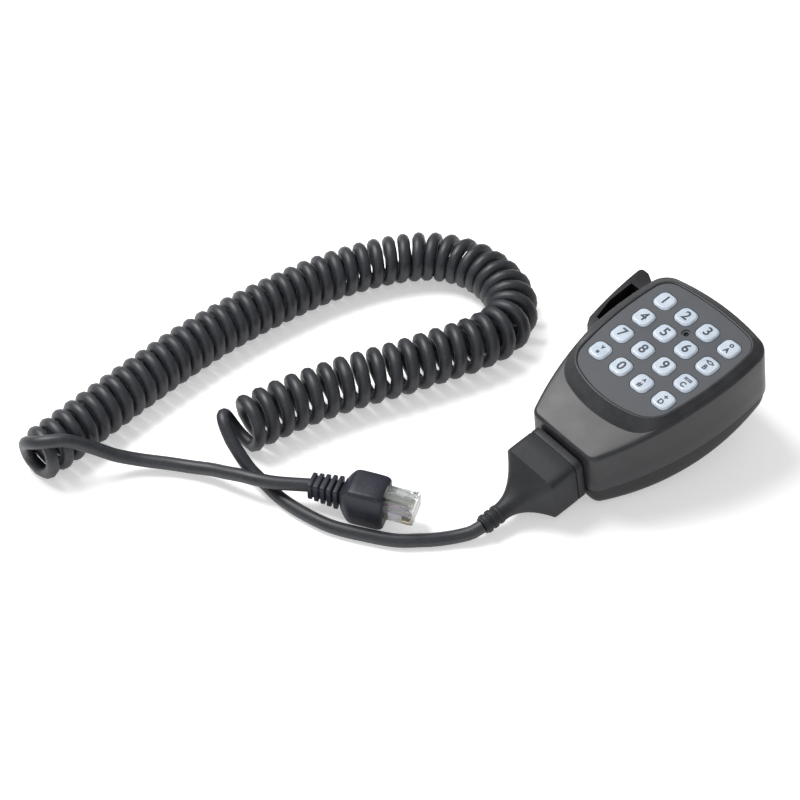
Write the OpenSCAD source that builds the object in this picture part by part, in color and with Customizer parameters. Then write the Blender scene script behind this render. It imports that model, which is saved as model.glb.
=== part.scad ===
// Hand microphone with a sixteen-key pad, a push-to-talk lever and a curly cord
// with a modular plug.  Millimetres.  The body is drawn flat in its own axes:
// X to the right of the key legends, Y towards the top, Z out of the keys, with
// Z = 0 at the key tops.  seated() then lays it on its back on Z = 0.

/* [Case] */
// Width across the body
case_w = 65.6; // [60:0.2:80]
// Place of the widest point above the middle of the keypad
case_wide_y = 6; // [0:0.5:10]
// Radius of the long side curves
case_side_r = 145; // [120:1:220]
// Top of the body above the middle of the keypad
case_top = 35.3; // [34:0.1:46]
// Radius of the top curve
case_top_r = 110; // [80:1:200]
// Corner radius at the top
case_top_corner = 10; // [7:0.5:13]
// Cord end of the body below the middle of the keypad
case_end = 58; // [54:0.5:70]
// Corner radius at the cord end
case_end_corner = 5; // [3:0.5:7]
// Depth of the upper edge of the side wall below the key tops
edge_drop = 2; // [1.5:0.1:3]
// Further fall of that edge at the cord end
end_fall = 4.5; // [2:0.1:6]
// Place along Y where that fall starts
fall_start = -12; // [-20:1:-5]
// Depth of the parting line below the key tops
parting_depth = 27.5; // [26:0.5:34]
// Deepest point of the back below the key tops
back_depth = 42.45; // [40:0.05:50]
// Place along Y of that deepest point
back_low_y = -22; // [-30:1:-10]
// Radius of the crowned back
back_crown_r = 211; // [180:1:300]
// Thickness of the case walls
case_wall = 2.2; // [1.8:0.1:2.6]
// Extra step of the rear case inside the front case
rear_step = 0; // [0:0.1:0.6]

/* [Panel] */
// Width of the key panel
panel_w = 55.2; // [54.4:0.2:57]
// Top of the panel above the middle of the keypad
panel_top = 30.4; // [29.5:0.1:31.5]
// Bottom of the panel below the middle of the keypad
panel_bottom = 34; // [33:0.1:35.5]
// Radius of the panel sides
panel_side_r = 150; // [120:1:220]
// Corner radius at the panel top
panel_top_corner = 8; // [6:0.5:10]
// Corner radius at the panel bottom
panel_low_corner = 12; // [8:0.5:14]
// Thickness of the panel
panel_t = 1.5; // [1.2:0.1:1.8]
// Gap round the panel
panel_gap = 0.15; // [0.1:0.05:0.3]
// Depth of the panel face below the key tops
panel_drop = 0.9; // [0.6:0.1:1.3]
// Width of the raised rim round the panel
rim_w = 1.1; // [0.8:0.1:1.6]
// Width of the ledge that carries the panel
ledge_w = 0.6; // [0.4:0.1:0.7]
// Run of the slope below the keypad, from the rim to the lower face
slope_run = 6; // [4:0.5:8]

/* [Keys] */
// Distance between key centres
key_pitch = 12.5; // [12.3:0.1:12.8]
// Width of a key cap
key_w = 8.8; // [8:0.1:9.2]
// Corner radius of a key cap
key_r = 3; // [2.4:0.1:3.6]
// Gap between a key and its opening
key_gap = 0.35; // [0.25:0.05:0.45]
// Overhang of the key flange under the panel
key_flange = 0.15; // [0.1:0.05:0.2]
// Thickness of the key flange
flange_t = 0.8; // [0.6:0.1:1]
// Travel of a key
key_travel = 0.7; // [0.5:0.05:0.9]
// Offset of the keypad to the right of the body's middle
pad_shift = 0.8; // [0:0.1:1]
// Diameter of the microphone port
port_d = 2.4; // [2:0.1:3]
// Diameter of the recess round the port
port_recess_d = 4.2; // [3.6:0.1:4.6]

/* [Inside] */
// Thickness of the circuit board
pcb_t = 1.6; // [1.2:0.2:2]
// Thickness of the rubber key mat
mat_t = 0.8; // [0.6:0.1:1]
// Diameter of a contact dome
dome_d = 5; // [4:0.5:6]
// Diameter of the microphone capsule
capsule_d = 9.7; // [6:0.1:10]
// Length of the microphone capsule
capsule_l = 6.7; // [4:0.1:7]
// Wall of the rubber boot round the capsule
capsule_boot_t = 1.4; // [1:0.1:2]
// Diameter of the case screws
screw_d = 2.6; // [2:0.1:3]
// Diameter of the case screw heads
screw_head_d = 4.8; // [4:0.1:5.5]

/* [Lever] */
// Height of the push-to-talk lever
lever_h = 17; // [14:0.5:18]
// Depth of the lever's upper edge below the key tops
lever_top = 6; // [5.5:0.5:8]
// Thickness of the lever's outer wall
lever_wall = 2.4; // [1.8:0.1:3]
// How far the lever stands out at its free end
lever_out = 9.8; // [8:0.1:11]
// How far the lever stands out next to its pin
lever_in = 5.6; // [4:0.1:6.5]
// Free end of the lever above the middle of the keypad
lever_tip_y = 28.2; // [26:0.2:29]
// Pin of the lever below the middle of the keypad
lever_pin_y = 9; // [8:0.5:11]
// Diameter of the lever pin
lever_pin_d = 2; // [1.6:0.1:2.4]
// Radial running clearance on the lever pin
lever_pin_play = 0.05; // [0.03:0.01:0.08]
// Travel of the lever in degrees
lever_travel = 6; // [4:0.5:7]
// Gap between the lever and its window
lever_gap = 0.5; // [0.4:0.1:0.8]

/* [Back] */
// Diameter of the hang-up button's head
knob_d = 12; // [10:0.5:14]
// Diameter of the button's neck
knob_neck_d = 7; // [5:0.5:8]
// Thickness of the button's head
knob_head_t = 2.4; // [2:0.1:3]
// Place of the button along Y
knob_y = -5; // [-12:1:5]
// Angle between the body and the surface when it lies on the button
rest_tilt = 10.35; // [9:0.05:11.5]

/* [Strain relief] */
// Width of the rubber boot's block
boot_w = 28.2; // [24:0.2:32]
// Depth of the block's upper face below the key tops
boot_top = 10.3; // [9:0.1:12]
// Height of the block
boot_h = 24.2; // [20:0.2:25]
// Length of the block
boot_block_l = 16.6; // [14:0.2:20]
// Length of the curved taper
boot_taper_l = 18; // [14:0.5:24]
// Length of the ribbed sleeve
boot_sleeve_l = 9.4; // [7:0.2:14]
// Diameter of the sleeve
boot_sleeve_d = 8.4; // [7.6:0.1:9]
// Depth of the sleeve's centre below the key tops
boot_axis = 25; // [23:0.1:26]

/* [Cord] */
// Diameter of the cord
cord_d = 5.8; // [5:0.1:6]
// Outer diameter of the coil on its close-wound run
coil_d = 23.2; // [22:0.1:24]
// Outer diameter of the coil on its stretched run
coil_wide_d = 25; // [24:0.1:26]

/* [Plug] */
// Width of the plug cover
cover_w = 15.5; // [14:0.5:17]
// Height of the plug cover
cover_h = 19.7; // [18.7:0.5:21.2]
// Length of the plug cover's block
cover_l = 18.5; // [16:0.5:20]
// Length of the ribbed tail
tail_l = 14.5; // [13:0.5:18]
// Width of the modular plug
plug_w = 11.7; // [11.4:0.1:12]
// Thickness of the modular plug
plug_t = 8; // [7.6:0.1:8.2]
// Length of the modular plug
plug_l = 21.5; // [20:0.5:23]
// Length of the plug inside its cover
plug_held = 9; // [7:0.5:10]
// Thickness of the plug's contacts
contact_t = 0.35; // [0.3:0.05:0.4]
// Travel of the latch in degrees
latch_travel = 8; // [5:0.5:10]

/* [Hidden] */

eps = 0.02;
arc_n = 6;
half_w = case_w / 2;

// ---- outlines -------------------------------------------------------------
// Centre of a corner of radius c inside a side circle at [sx, sy] of radius sr
// and an end circle at [0, ey] of radius er; up is 1 at the top, -1 at the end.
function corner_mid(sx, sy, sr, ey, er, c, up) =
    let (a = [sx, sy], b = [0, ey], ra = sr - c, rb = er - c, d = norm(b - a),
         along = (ra * ra - rb * rb + d * d) / (2 * d),
         off = sqrt(ra * ra - along * along), u = (b - a) / d,
         p = a + u * along, q = [-u.y, u.x] * off,
         one = p + q, two = p - q)
    up * one.y > up * two.y ? one : two;
function aim(from, to) = atan2(to.y - from.y, to.x - from.x);
function arc(mid, r, from, to, n) =
    [for (i = [0:n]) let (t = from + (to - from) * i / n) mid + r * [cos(t), sin(t)]];
// Right half of a shield outline, from the middle of its low end to its top.
function shield_half(w, wy, sr, top, tr, ct, low, lr, cl) =
    let (s = [w - sr, wy], t = [0, top - tr], b = [0, low + lr],
         fl = corner_mid(s.x, s.y, sr, b.y, lr, cl, -1),
         ft = corner_mid(s.x, s.y, sr, t.y, tr, ct, 1))
    concat(arc(b, lr, -90, aim(b, fl), 4), arc(fl, cl, aim(b, fl), aim(s, fl), arc_n),
           arc(s, sr, aim(s, fl), aim(s, ft), 9),
           arc(ft, ct, aim(s, ft), aim(t, ft), arc_n), arc(t, tr, aim(t, ft), 90, 4));
function mirrored(half) =
    let (n = len(half))
    [for (i = [0:2 * n - 3]) i < n ? half[i] : [-half[2 * n - 2 - i].x, half[2 * n - 2 - i].y]];
function no_repeats(p) = [for (i = [0:len(p) - 1]) if (norm(p[i] - p[(i + len(p) - 1) % len(p)]) > 0.001) p[i]];
function shield(w, wy, sr, top, tr, ct, low, lr, cl) =
    no_repeats(mirrored(shield_half(w, wy, sr, top, tr, ct, low, lr, cl)));
end_r = 1500;
function case_outline(inset) =
    shield(half_w - inset, case_wide_y, case_side_r - inset, case_top - inset,
           case_top_r - inset, max(case_top_corner - inset, 2), -case_end + inset, end_r,
           max(case_end_corner - inset, 1.5));
panel_top_r = 130;
panel_low_r = 52;
function panel_outline(out) =
    shield(panel_w / 2 + out, case_wide_y, panel_side_r + out, panel_top + out,
           panel_top_r + out, panel_top_corner + out, -panel_bottom - out,
           panel_low_r + out, panel_low_corner + out);
rim_out = rim_w + panel_gap;
slope_side = 0.3;
function slope_outline() =
    shield(half_w - slope_side, case_wide_y, case_side_r, case_top - slope_side,
           case_top_r, case_top_corner, -panel_bottom - rim_out - slope_run,
           panel_low_r + slope_run, panel_low_corner + 4);

// Height of the side wall's upper edge at y.
function edge_z(y) =
    -edge_drop - (y < fall_start ? end_fall * (fall_start - y) / (case_end + fall_start) : 0);
function back_z(y) = -back_depth + pow(y - back_low_y, 2) / (2 * back_crown_r);

// Strips that close a ring of n points whose halves mirror each other.
function strips(n, from, up) =
    [for (i = [0:n / 2 - 1]) let (a = i, b = i + 1, c = n - i - 1, d = (n - i) % n,
          f = i == 0 ? [a, b, c] : i == n / 2 - 1 ? [a, b, d] : [a, b, c, d])
        [for (k = [0:len(f) - 1]) from + f[up ? len(f) - 1 - k : k]]];
// Rings of points joined into one closed solid, its ends closed by strips if curved.
module loft(rings, curved = false) {
    n = len(rings[0]);
    m = len(rings);
    polyhedron(points = [for (r = rings) for (p = r) p],
        faces = concat(curved ? strips(n, 0, false) : [[for (i = [0:n - 1]) i]],
            [for (j = [0:m - 2]) for (i = [0:n - 1]) let (a = j * n + i, b = j * n + (i + 1) % n)
                each [[a, a + n, b], [b, a + n, b + n]]],
            [[for (i = [n - 1:-1:0]) (m - 1) * n + i]]), convexity = 6);
}
function at_z(outline, z) = [for (p = outline) [p.x, p.y, z]];

// ---- heights inside the front case ----------------------------------------
rim_z = -panel_drop + 0.5;
panel_z = -panel_drop;
panel_under = panel_z - panel_t;
flange_z = panel_under - 0.15;
key_under = flange_z - flange_t;
mat_z = key_under - key_travel - 0.2;
pillar_l = 0.6;
dome_t = 0.35;
play = 0.1;
pcb_z = mat_z - mat_t - pillar_l - dome_t - 2 * play;
pcb_under = pcb_z - pcb_t;
roof_z = -edge_drop - case_wall;
lip_out = 0.8;

// ---- seat -----------------------------------------------------------------
function rear_ring(inset, up) =
    [for (p = case_outline(rear_step + inset)) [p.x, p.y, back_z(p.y) + up]];
rear_rounds = [[0, 6], [0.3, 3], [1.2, 1.2], [3, 0.3], [6, 0]];
rest_z = -min([for (k = rear_rounds) for (p = rear_ring(k[0], k[1]))
                   p.y * sin(rest_tilt) + p.z * cos(rest_tilt)]);
knob_foot = (-rest_z - (knob_y - knob_d / 2) * sin(rest_tilt)) / cos(rest_tilt);
seat_x = (lever_out - lip_out) / 2;
boot_gap = 1;
boot_end = -case_end - boot_gap - boot_block_l - boot_taper_l - boot_sleeve_l;
seat_y = -(boot_end * cos(rest_tilt) + (boot_axis - boot_sleeve_d / 2) * sin(rest_tilt)
           + (case_top + lip_out) * cos(rest_tilt) + parting_depth * sin(rest_tilt)) / 2;
module seated() translate([seat_x, seat_y, rest_z]) rotate([rest_tilt, 0, 0]) children();
function seat_point(p) =
    [seat_x + p.x, seat_y + p.y * cos(rest_tilt) - p.z * sin(rest_tilt),
     rest_z + p.y * sin(rest_tilt) + p.z * cos(rest_tilt)];

// ---- front case -----------------------------------------------------------
profile_over = 5;
// Side view of the space below the wall's upper edge, lowered by drop.
module edge_profile(drop, low)
    rotate([90, 0, 90]) linear_extrude(case_w + 4 * profile_over, center = true)
        polygon([[-case_end - profile_over, low],
                 [-case_end - profile_over, edge_z(-case_end - profile_over) - drop],
                 [fall_start, edge_z(fall_start) - drop],
                 [case_top + profile_over, edge_z(case_top) - drop],
                 [case_top + profile_over, low]]);
boss_d = 5.6;
boss_top_x = 12;
boss_top_y = case_top - 9.6;
boss_low_x = 15;
boss_low_y = -case_end + 16;
boss_points = [[boss_top_x, boss_top_y], [-boss_top_x, boss_top_y],
               [boss_low_x, boss_low_y], [-boss_low_x, boss_low_y]];
boss_top_z = -8.6;
pin_x = -half_w + 2.4;
pin_y = -lever_pin_y;
pin_boss_d = 5;
lever_low = -lever_top - lever_h;
window_top = -lever_top + lever_gap;
window_low = lever_low - lever_gap;
window_from = pin_y - 6.2;
window_to = lever_tip_y + 0.6;
window_deep = 5.4;
stem_w = 14;
stem_h = 13;
stem_gap = 0.2;
post_x = -half_w + 6;
post_y = 3;
post_t = 1.4;
post_w = 6;
spring_z = -15;
module boot_opening(grow)
    translate([-stem_w / 2 - grow, -case_end - 2, -boot_axis - stem_h / 2 - grow])
        cube([stem_w + 2 * grow, case_wall + 3, stem_h + 2 * grow]);
module front_case() seated() color("#3a3b3e") {
    difference() {
        union() {
            intersection() {
                hull() {
                    translate([0, 0, -parting_depth]) linear_extrude(eps) polygon(case_outline(-lip_out));
                    translate([0, 0, -edge_drop]) linear_extrude(eps) polygon(case_outline(0));
                }
                edge_profile(0, -parting_depth);
            }
            loft([at_z(slope_outline(), -edge_drop - end_fall),
                  [for (p = slope_outline()) [p.x, p.y, edge_z(p.y) - eps]],
                  at_z(panel_outline(rim_out), rim_z)]);
        }
        intersection() {
            translate([0, 0, -parting_depth - 1]) linear_extrude(parting_depth)
                polygon(case_outline(case_wall));
            edge_profile(case_wall, -parting_depth - 1);
        }
        translate([0, 0, panel_under]) linear_extrude(5) polygon(panel_outline(panel_gap));
        translate([0, 0, roof_z - 1]) linear_extrude(5) polygon(panel_outline(-ledge_w));
        translate([-half_w - 3, window_from, window_low])
            cube([window_deep + 3, window_to - window_from, window_top - window_low]);
        boot_opening(stem_gap);
        front_pin_hole();
    }
    intersection() {
        difference() {
            for (p = boss_points) translate([0, 0, -parting_depth + play]) {
                boss_h = parting_depth - play + (p.y > 0 ? boss_top_z : edge_z(p.y) - case_wall / 2);
                translate([p.x, p.y, 0]) cylinder(d = boss_d, h = boss_h, $fn = 32);
                if (p.y > 0) translate([p.x - 1, p.y, 0]) cube([2, case_top - p.y, boss_h]);
            }
            for (p = boss_points) translate([p.x, p.y, -parting_depth - 1])
                cylinder(d = screw_d, h = parting_depth - 9, $fn = 32);
        }
        case_inside();
    }
    intersection() {
        difference() {
            for (z = [[-parting_depth, window_low], [window_top, roof_z + 0.5]])
                translate([pin_x, pin_y, z[0]]) cylinder(d = pin_boss_d, h = z[1] - z[0], $fn = 32);
            front_pin_hole();
        }
        case_inside();
    }
    translate([post_x, post_y - post_w / 2, spring_z - post_w / 2])
        cube([post_t, post_w, roof_z - spring_z + post_w / 2 + 0.5]);
}
module case_inside() intersection() {
    translate([0, 0, -parting_depth]) linear_extrude(parting_depth) polygon(case_outline(case_wall - 0.6));
    edge_profile(case_wall - 0.6, -parting_depth);
}
pin_top = -3.4;
module front_pin_hole()
    translate([pin_x, pin_y, -parting_depth - 1])
        cylinder(d = lever_pin_d, h = parting_depth + 1 + pin_top, $fn = 32);

// ---- rear case ------------------------------------------------------------
parting_gap = 0.1;
rear_z = -parting_depth - parting_gap;
knob_seat_z = -back_depth - 0.4;
knob_pad_d = 12;
rear_floor_t = 2.2;
head_deep = 1.2;
head_t = 1.8;
function head_z(p) = back_z(p.y) + head_deep;
module rear_case() seated() color("#424347") difference() {
    union() {
        difference() {
            loft(concat([for (k = [4:-1:0]) rear_ring(rear_rounds[k][0], rear_rounds[k][1])],
                        [at_z(case_outline(rear_step), rear_z)]), true);
            loft([[for (p = case_outline(rear_step + 6)) [p.x, p.y, back_z(p.y) + rear_floor_t]],
                  [for (p = case_outline(rear_step + 2.7)) [p.x, p.y, back_z(p.y) + 5.4]],
                  at_z(case_outline(rear_step + case_wall), rear_z + 1)], true);
        }
        translate([0, knob_y, knob_seat_z]) cylinder(d = knob_pad_d, h = 4.4, $fn = 40);
        for (p = boss_points) translate([p.x, p.y, back_z(p.y) + 1])
            cylinder(d = boss_d + 1.6, h = rear_z - back_z(p.y) - 1, $fn = 32);
        for (x = [-clamp_screw_x, clamp_screw_x]) translate([x, clamp_y, back_z(clamp_y) + 1])
            cylinder(d = clamp_boss_d, h = clamp_z - back_z(clamp_y) - 1, $fn = 32);
    }
    for (p = boss_points) {
        translate([p.x, p.y, -60]) cylinder(d = screw_head_d + 0.4, h = 60 + head_z(p) + head_t, $fn = 32);
        translate([p.x, p.y, -60]) cylinder(d = screw_d + 0.4, h = 60, $fn = 32);
    }
    for (x = [-clamp_screw_x, clamp_screw_x]) translate([x, clamp_y, clamp_z - clamp_screw_l])
        cylinder(d = clamp_screw_d, h = 20, $fn = 24);
    translate([0, knob_y, -60]) cylinder(d = knob_screw_d, h = 60, $fn = 32);
    boot_opening(stem_gap);
}

// ---- key panel and keys ---------------------------------------------------
function key_at(i) = [pad_shift + (i % 4 - 1.5) * key_pitch, (1.5 - floor(i / 4)) * key_pitch];
function square_round(w, r) =
    [for (q = [0:3], i = [0:4]) let (t = 90 * q + 22.5 * i, s = w / 2 - r)
        [(q == 0 || q == 3 ? s : -s) + r * cos(t), (q < 2 ? s : -s) + r * sin(t)]];
port_at = [pad_shift, key_pitch];
module key_panel() seated() color("#66676b") difference() {
    translate([0, 0, panel_under]) linear_extrude(panel_t) polygon(panel_outline(0));
    for (i = [0:15]) translate([key_at(i).x, key_at(i).y, panel_under - 1]) linear_extrude(panel_t + 2)
        polygon(square_round(key_w + 2 * key_gap, key_r + key_gap));
    translate([port_at.x, port_at.y, panel_under - 1]) cylinder(d = port_d, h = panel_t + 2, $fn = 32);
    translate([port_at.x, port_at.y, panel_z - 0.6]) cylinder(d = port_recess_d, h = 2, $fn = 40);
}
crown_h = 0.35;
crown_in = 0.5;
module key(i) seated() color("#d8e2ea") translate([key_at(i).x, key_at(i).y, 0]) {
    translate([0, 0, key_under]) linear_extrude(flange_t)
        polygon(square_round(key_w + 2 * (key_gap + key_flange), key_r));
    translate([0, 0, flange_z]) linear_extrude(-crown_h - flange_z)
        polygon(square_round(key_w, key_r));
    translate([0, 0, -crown_h]) linear_extrude(crown_h)
        polygon(square_round(key_w - 2 * crown_in, key_r - crown_in));
}
module key_1() key(0);
module key_2() key(1);
module key_3() key(2);
module key_a() key(3);
module key_4() key(4);
module key_5() key(5);
module key_6() key(6);
module key_b() key(7);
module key_7() key(8);
module key_8() key(9);
module key_9() key(10);
module key_c() key(11);
module key_star() key(12);
module key_0() key(13);
module key_hash() key(14);
module key_d() key(15);

// ---- behind the keys ------------------------------------------------------
mat_inset = 2.8;
board_inset = 3;
tube_d = 3.6;
pillar_d = 4;
module keypad_mat() seated() color("#b9bdbf") difference() {
    union() {
        translate([0, 0, mat_z - mat_t]) linear_extrude(mat_t) polygon(panel_outline(-mat_inset));
        for (i = [0:15]) translate([key_at(i).x, key_at(i).y, mat_z - mat_t - pillar_l])
            cylinder(d = pillar_d, h = pillar_l + eps, $fn = 32);
    }
    translate([port_at.x, port_at.y, mat_z - 5]) cylinder(d = tube_d, h = 9, $fn = 32);
}
module contact_domes() seated() color("#c9ccd0")
    for (i = [0:15]) translate([key_at(i).x, key_at(i).y, pcb_z]) {
        cylinder(d = dome_d, h = dome_t / 2, $fn = 32);
        cylinder(d = dome_d * 0.7, h = dome_t, $fn = 32);
    }
module main_pcb() seated() color("#1f5a3a") difference() {
    translate([0, 0, pcb_under]) linear_extrude(pcb_t) polygon(panel_outline(-board_inset));
    translate([port_at.x, port_at.y, pcb_under - 1]) cylinder(d = tube_d, h = pcb_t + 2, $fn = 32);
}
// Box standing on the back of the board.
module on_board(p, w, l, h) translate([p.x - w / 2, p.y - l / 2, pcb_under - h]) cube([w, l, h]);
module pcb_chips() seated() color("#202124") {
    on_board([-10, -5], 10, 10, 1.4);
    on_board([9, -6], 4, 8.6, 1.5);
    on_board([-10, -16], 7, 3, 2);
    on_board([14, 4], 5, 3, 1.6);
    on_board([-12, 21], 4, 3, 1.2);
}
led_points = [[-1, 1], [1, 1], [-1, -1], [1, -1]];
module backlight_leds() seated() color("#f2efe0")
    for (p = led_points) translate([pad_shift + p.x * key_pitch - 1, p.y * key_pitch - 0.6, pcb_z])
        cube([2, 1.2, 0.5]);
module mic_capsule() seated() color("#b8bbbe")
    translate([port_at.x, port_at.y, pcb_under - 0.3 - capsule_l]) {
        cylinder(d = capsule_d, h = capsule_l - 0.4, $fn = 48);
        translate([0, 0, capsule_l - 0.4]) cylinder(d = capsule_d - 1.6, h = 0.4, $fn = 48);
    }
module capsule_boot() seated() color("#232325")
    translate([port_at.x, port_at.y, pcb_under - capsule_l - 0.8]) difference() {
        cylinder(d = capsule_d + 0.1 + 2 * capsule_boot_t, h = capsule_l + 0.8, $fn = 48);
        translate([0, 0, 0.4]) cylinder(d = capsule_d + 0.1, h = capsule_l + 1, $fn = 48);
        translate([0, 0, -1]) cylinder(d = capsule_d - 2, h = 3, $fn = 48);
    }
module dust_cloth() seated() color("#151517")
    translate([port_at.x, port_at.y, panel_under - 0.3]) cylinder(d = 5.4, h = 0.3, $fn = 32);

// ---- push-to-talk lever ---------------------------------------------------
lever_face_x = -half_w + 2.6;
lever_bow = 0.7;
tip_x = -half_w - lever_out;
heel_x = -half_w - lever_in;
block_from = 19;
function lever_outer() =
    concat([[-half_w + 0.9, pin_y - 4.6], [(heel_x - half_w) / 2 - 0.6, pin_y - 0.8]],
           [for (i = [0:8]) let (t = i / 8, y = pin_y + 2.6 + t * (lever_tip_y - 1.8 - pin_y - 2.6))
               [heel_x + t * (tip_x - heel_x) - lever_bow * 4 * t * (1 - t), y]],
           [[tip_x + 0.5, lever_tip_y - 0.6], [tip_x + 1.6, lever_tip_y],
            [tip_x + 4.6, lever_tip_y], [-half_w + 1.3, lever_tip_y - 3.6],
            [lever_face_x, lever_tip_y - 4], [lever_face_x, pin_y - 4.6]]);
module ptt_lever() seated() color("#4a4b4e") difference() {
    union() {
        translate([0, 0, lever_low]) linear_extrude(lever_h) polygon(lever_outer());
        translate([pin_x, pin_y, lever_low]) cylinder(d = pin_boss_d, h = lever_h, $fn = 40);
    }
    translate([0, 0, lever_low + 3]) linear_extrude(lever_h)
        polygon([[heel_x + lever_wall, pin_y + 4.5],
                 [(heel_x + tip_x) / 2 + lever_wall - lever_bow, (pin_y + block_from) / 2 + 2],
                 [heel_x + 0.75 * (tip_x - heel_x) + lever_wall, block_from],
                 [-half_w + 0.8, block_from], [-half_w + 0.8, pin_y + 4.5]]);
    translate([pin_x, pin_y, lever_low - 1])
        cylinder(d = lever_pin_d + 2 * lever_pin_play, h = lever_h + 2, $fn = 40);
}
module ptt_pin() seated() color("#b4b6b9")
    translate([pin_x, pin_y, -parting_depth + 0.2])
        cylinder(d = lever_pin_d, h = parting_depth - 0.2 + pin_top - 0.2, $fn = 40);
plunger_d = 2.4;
plunger_gap = 0.3;
plunger_y = 16;
switch_w = 6;
switch_h = 6;
switch_l = 9;
plunger_z = pcb_under - switch_h / 2;
plunger_tip = lever_face_x + plunger_gap;
plunger_reach = 2.9;
plunger_l = 7.6;
switch_x = plunger_tip + plunger_reach;
module ptt_switch() seated() color("#2c2d31") difference() {
    translate([switch_x, plunger_y - switch_w / 2, pcb_under - switch_h]) cube([switch_l, switch_w, switch_h]);
    translate([switch_x - 1, plunger_y, plunger_z]) rotate([0, 90, 0])
        cylinder(d = plunger_d + 0.2, h = switch_l, $fn = 32);
}
module ptt_plunger() seated() color("#d9d4c8")
    translate([plunger_tip, plunger_y, plunger_z]) rotate([0, 90, 0]) cylinder(d = plunger_d, h = plunger_l, $fn = 32);
// Points of a helix along X from a to b with the given radius and turns.
function helix(a, b, r, turns, per) =
    [for (i = [0:turns * per]) let (t = i / (turns * per))
        [a.x + (b.x - a.x) * t, a.y + r * cos(360 * turns * t), a.z + r * sin(360 * turns * t)]];
module ptt_spring() seated() color("#c8cace")
    sweep(helix([lever_face_x + 0.35, post_y, spring_z], [post_x - 0.35, post_y, spring_z], 2, 4, 10),
          [0.25], 6, [1, 0, 0]);

// ---- hang-up button and screws --------------------------------------------
knob_screw_d = 3;
module hang_knob() seated() color("#2f3033") translate([0, knob_y, 0]) difference() {
    union() {
        translate([0, 0, knob_foot]) cylinder(d = knob_d, h = knob_head_t, $fn = 48);
        translate([0, 0, knob_foot + knob_head_t])
            cylinder(d = knob_neck_d, h = knob_seat_z - knob_foot - knob_head_t, $fn = 48);
    }
    translate([0, 0, knob_foot + 1.2]) cylinder(d = knob_screw_d, h = 20, $fn = 32);
}
module hang_knob_screw() seated() color("#9a9da1") translate([0, knob_y, 0]) {
    translate([0, 0, knob_foot + 1.4]) cylinder(d = knob_screw_d, h = knob_seat_z + 4.4 - knob_foot - 1.4, $fn = 32);
    translate([0, 0, knob_seat_z + 4.4]) cylinder(d = 5.6, h = 1.8, $fn = 32);
}
module case_screws() seated() color("#8d9094")
    for (p = boss_points) translate([p.x, p.y, head_z(p)]) {
        difference() {
            cylinder(d = screw_head_d, h = head_t, $fn = 32);
            for (a = [0, 90]) rotate([0, 0, a]) translate([-1.3, -0.25, -1]) cube([2.6, 0.5, 1.7]);
        }
        translate([0, 0, head_t]) cylinder(d = screw_d, h = -12 - head_z(p) - head_t, $fn = 32);
    }

// ---- cord boot and what holds it ------------------------------------------
block_mid_z = -boot_top - boot_h / 2;
block_end = -case_end - boot_gap - boot_block_l;
taper_end = block_end - boot_taper_l;
// Rounded section of half width a and half height b, from square to round.
function section(a, b, e, y, z) =
    [for (i = [0:31]) let (t = 360 * i / 32, c = cos(t), s = sin(t))
        [a * sign(c) * pow(abs(c), 2 / e), y, z + b * sign(s) * pow(abs(s), 2 / e)]];
function taper_ring(t) = let (k = pow(1 - t, 2.2), r = boot_sleeve_d / 2 - 0.3)
    section(r + (boot_w / 2 - r) * k, r + (boot_h / 2 - r) * k, 2 + 6 * k,
            block_end - boot_taper_l * t, -boot_axis + (block_mid_z + boot_axis) * k);
collar_y = -case_end + case_wall + 0.7;
collar_t = 1.8;
module cord_boot() seated() color("#3d3f43") {
    groove = 0.5;
    band_l = 3.6;
    difference() {
        union() {
            loft([section(boot_w / 2, boot_h / 2, 9, -case_end - boot_gap, block_mid_z),
                  section(boot_w / 2, boot_h / 2, 9, block_end + 1, block_mid_z),
                  for (i = [0:7]) taper_ring(i / 7)]);
            translate([-stem_w / 2, -case_end - boot_gap - eps, -boot_axis - stem_h / 2])
                cube([stem_w, boot_gap + case_wall + 1, stem_h]);
            translate([-stem_w / 2 - 2, collar_y, -boot_axis - stem_h / 2 - 1])
                cube([stem_w + 4, collar_t, stem_h + 2]);
        }
        difference() {
            translate([-boot_w, -case_end - boot_gap - band_l - groove, -60])
                cube([2 * boot_w, groove, 60]);
            translate([-boot_w / 2 + groove, -case_end - boot_gap - band_l - 2, block_mid_z - boot_h / 2 + groove])
                cube([boot_w - 2 * groove, 4, boot_h - 2 * groove]);
        }
    }
    ribs = 3;
    rib_l = boot_sleeve_l / ribs;
    sleeve_in = 0.4;
    translate([0, taper_end + sleeve_in, -boot_axis]) rotate([90, 0, 0])
        cylinder(d = boot_sleeve_d - 1.2, h = boot_sleeve_l + sleeve_in, $fn = 48);
    for (i = [0:ribs - 1]) translate([0, taper_end - i * rib_l + sleeve_in, -boot_axis])
        rotate([90, 0, 0]) cylinder(d = boot_sleeve_d, h = rib_l * 0.7, $fn = 48);
}
clamp_y = -case_end + 10;
clamp_l = 5;
clamp_screw_x = 7;
clamp_screw_d = 2;
clamp_screw_l = 6;
clamp_boss_d = 4.6;
clamp_z = -boot_axis - 4;
clamp_t = 8.4;
tail_d = cord_d - 0.2;
module cord_clamp() seated() color("#6b6d70") difference() {
    translate([-clamp_screw_x - 2.6, clamp_y - clamp_l / 2, clamp_z + eps])
        cube([2 * clamp_screw_x + 5.2, clamp_l, clamp_t]);
    translate([0, clamp_y - clamp_l, -boot_axis]) rotate([-90, 0, 0]) cylinder(d = tail_d + 0.2, h = 2 * clamp_l, $fn = 40);
    translate([-tail_d / 2 - 0.1, clamp_y - clamp_l, clamp_z - 1]) cube([tail_d + 0.2, 2 * clamp_l, 5]);
    for (x = [-clamp_screw_x, clamp_screw_x]) translate([x, clamp_y, clamp_z - 1])
        cylinder(d = clamp_screw_d + 0.2, h = 20, $fn = 24);
}
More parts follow.
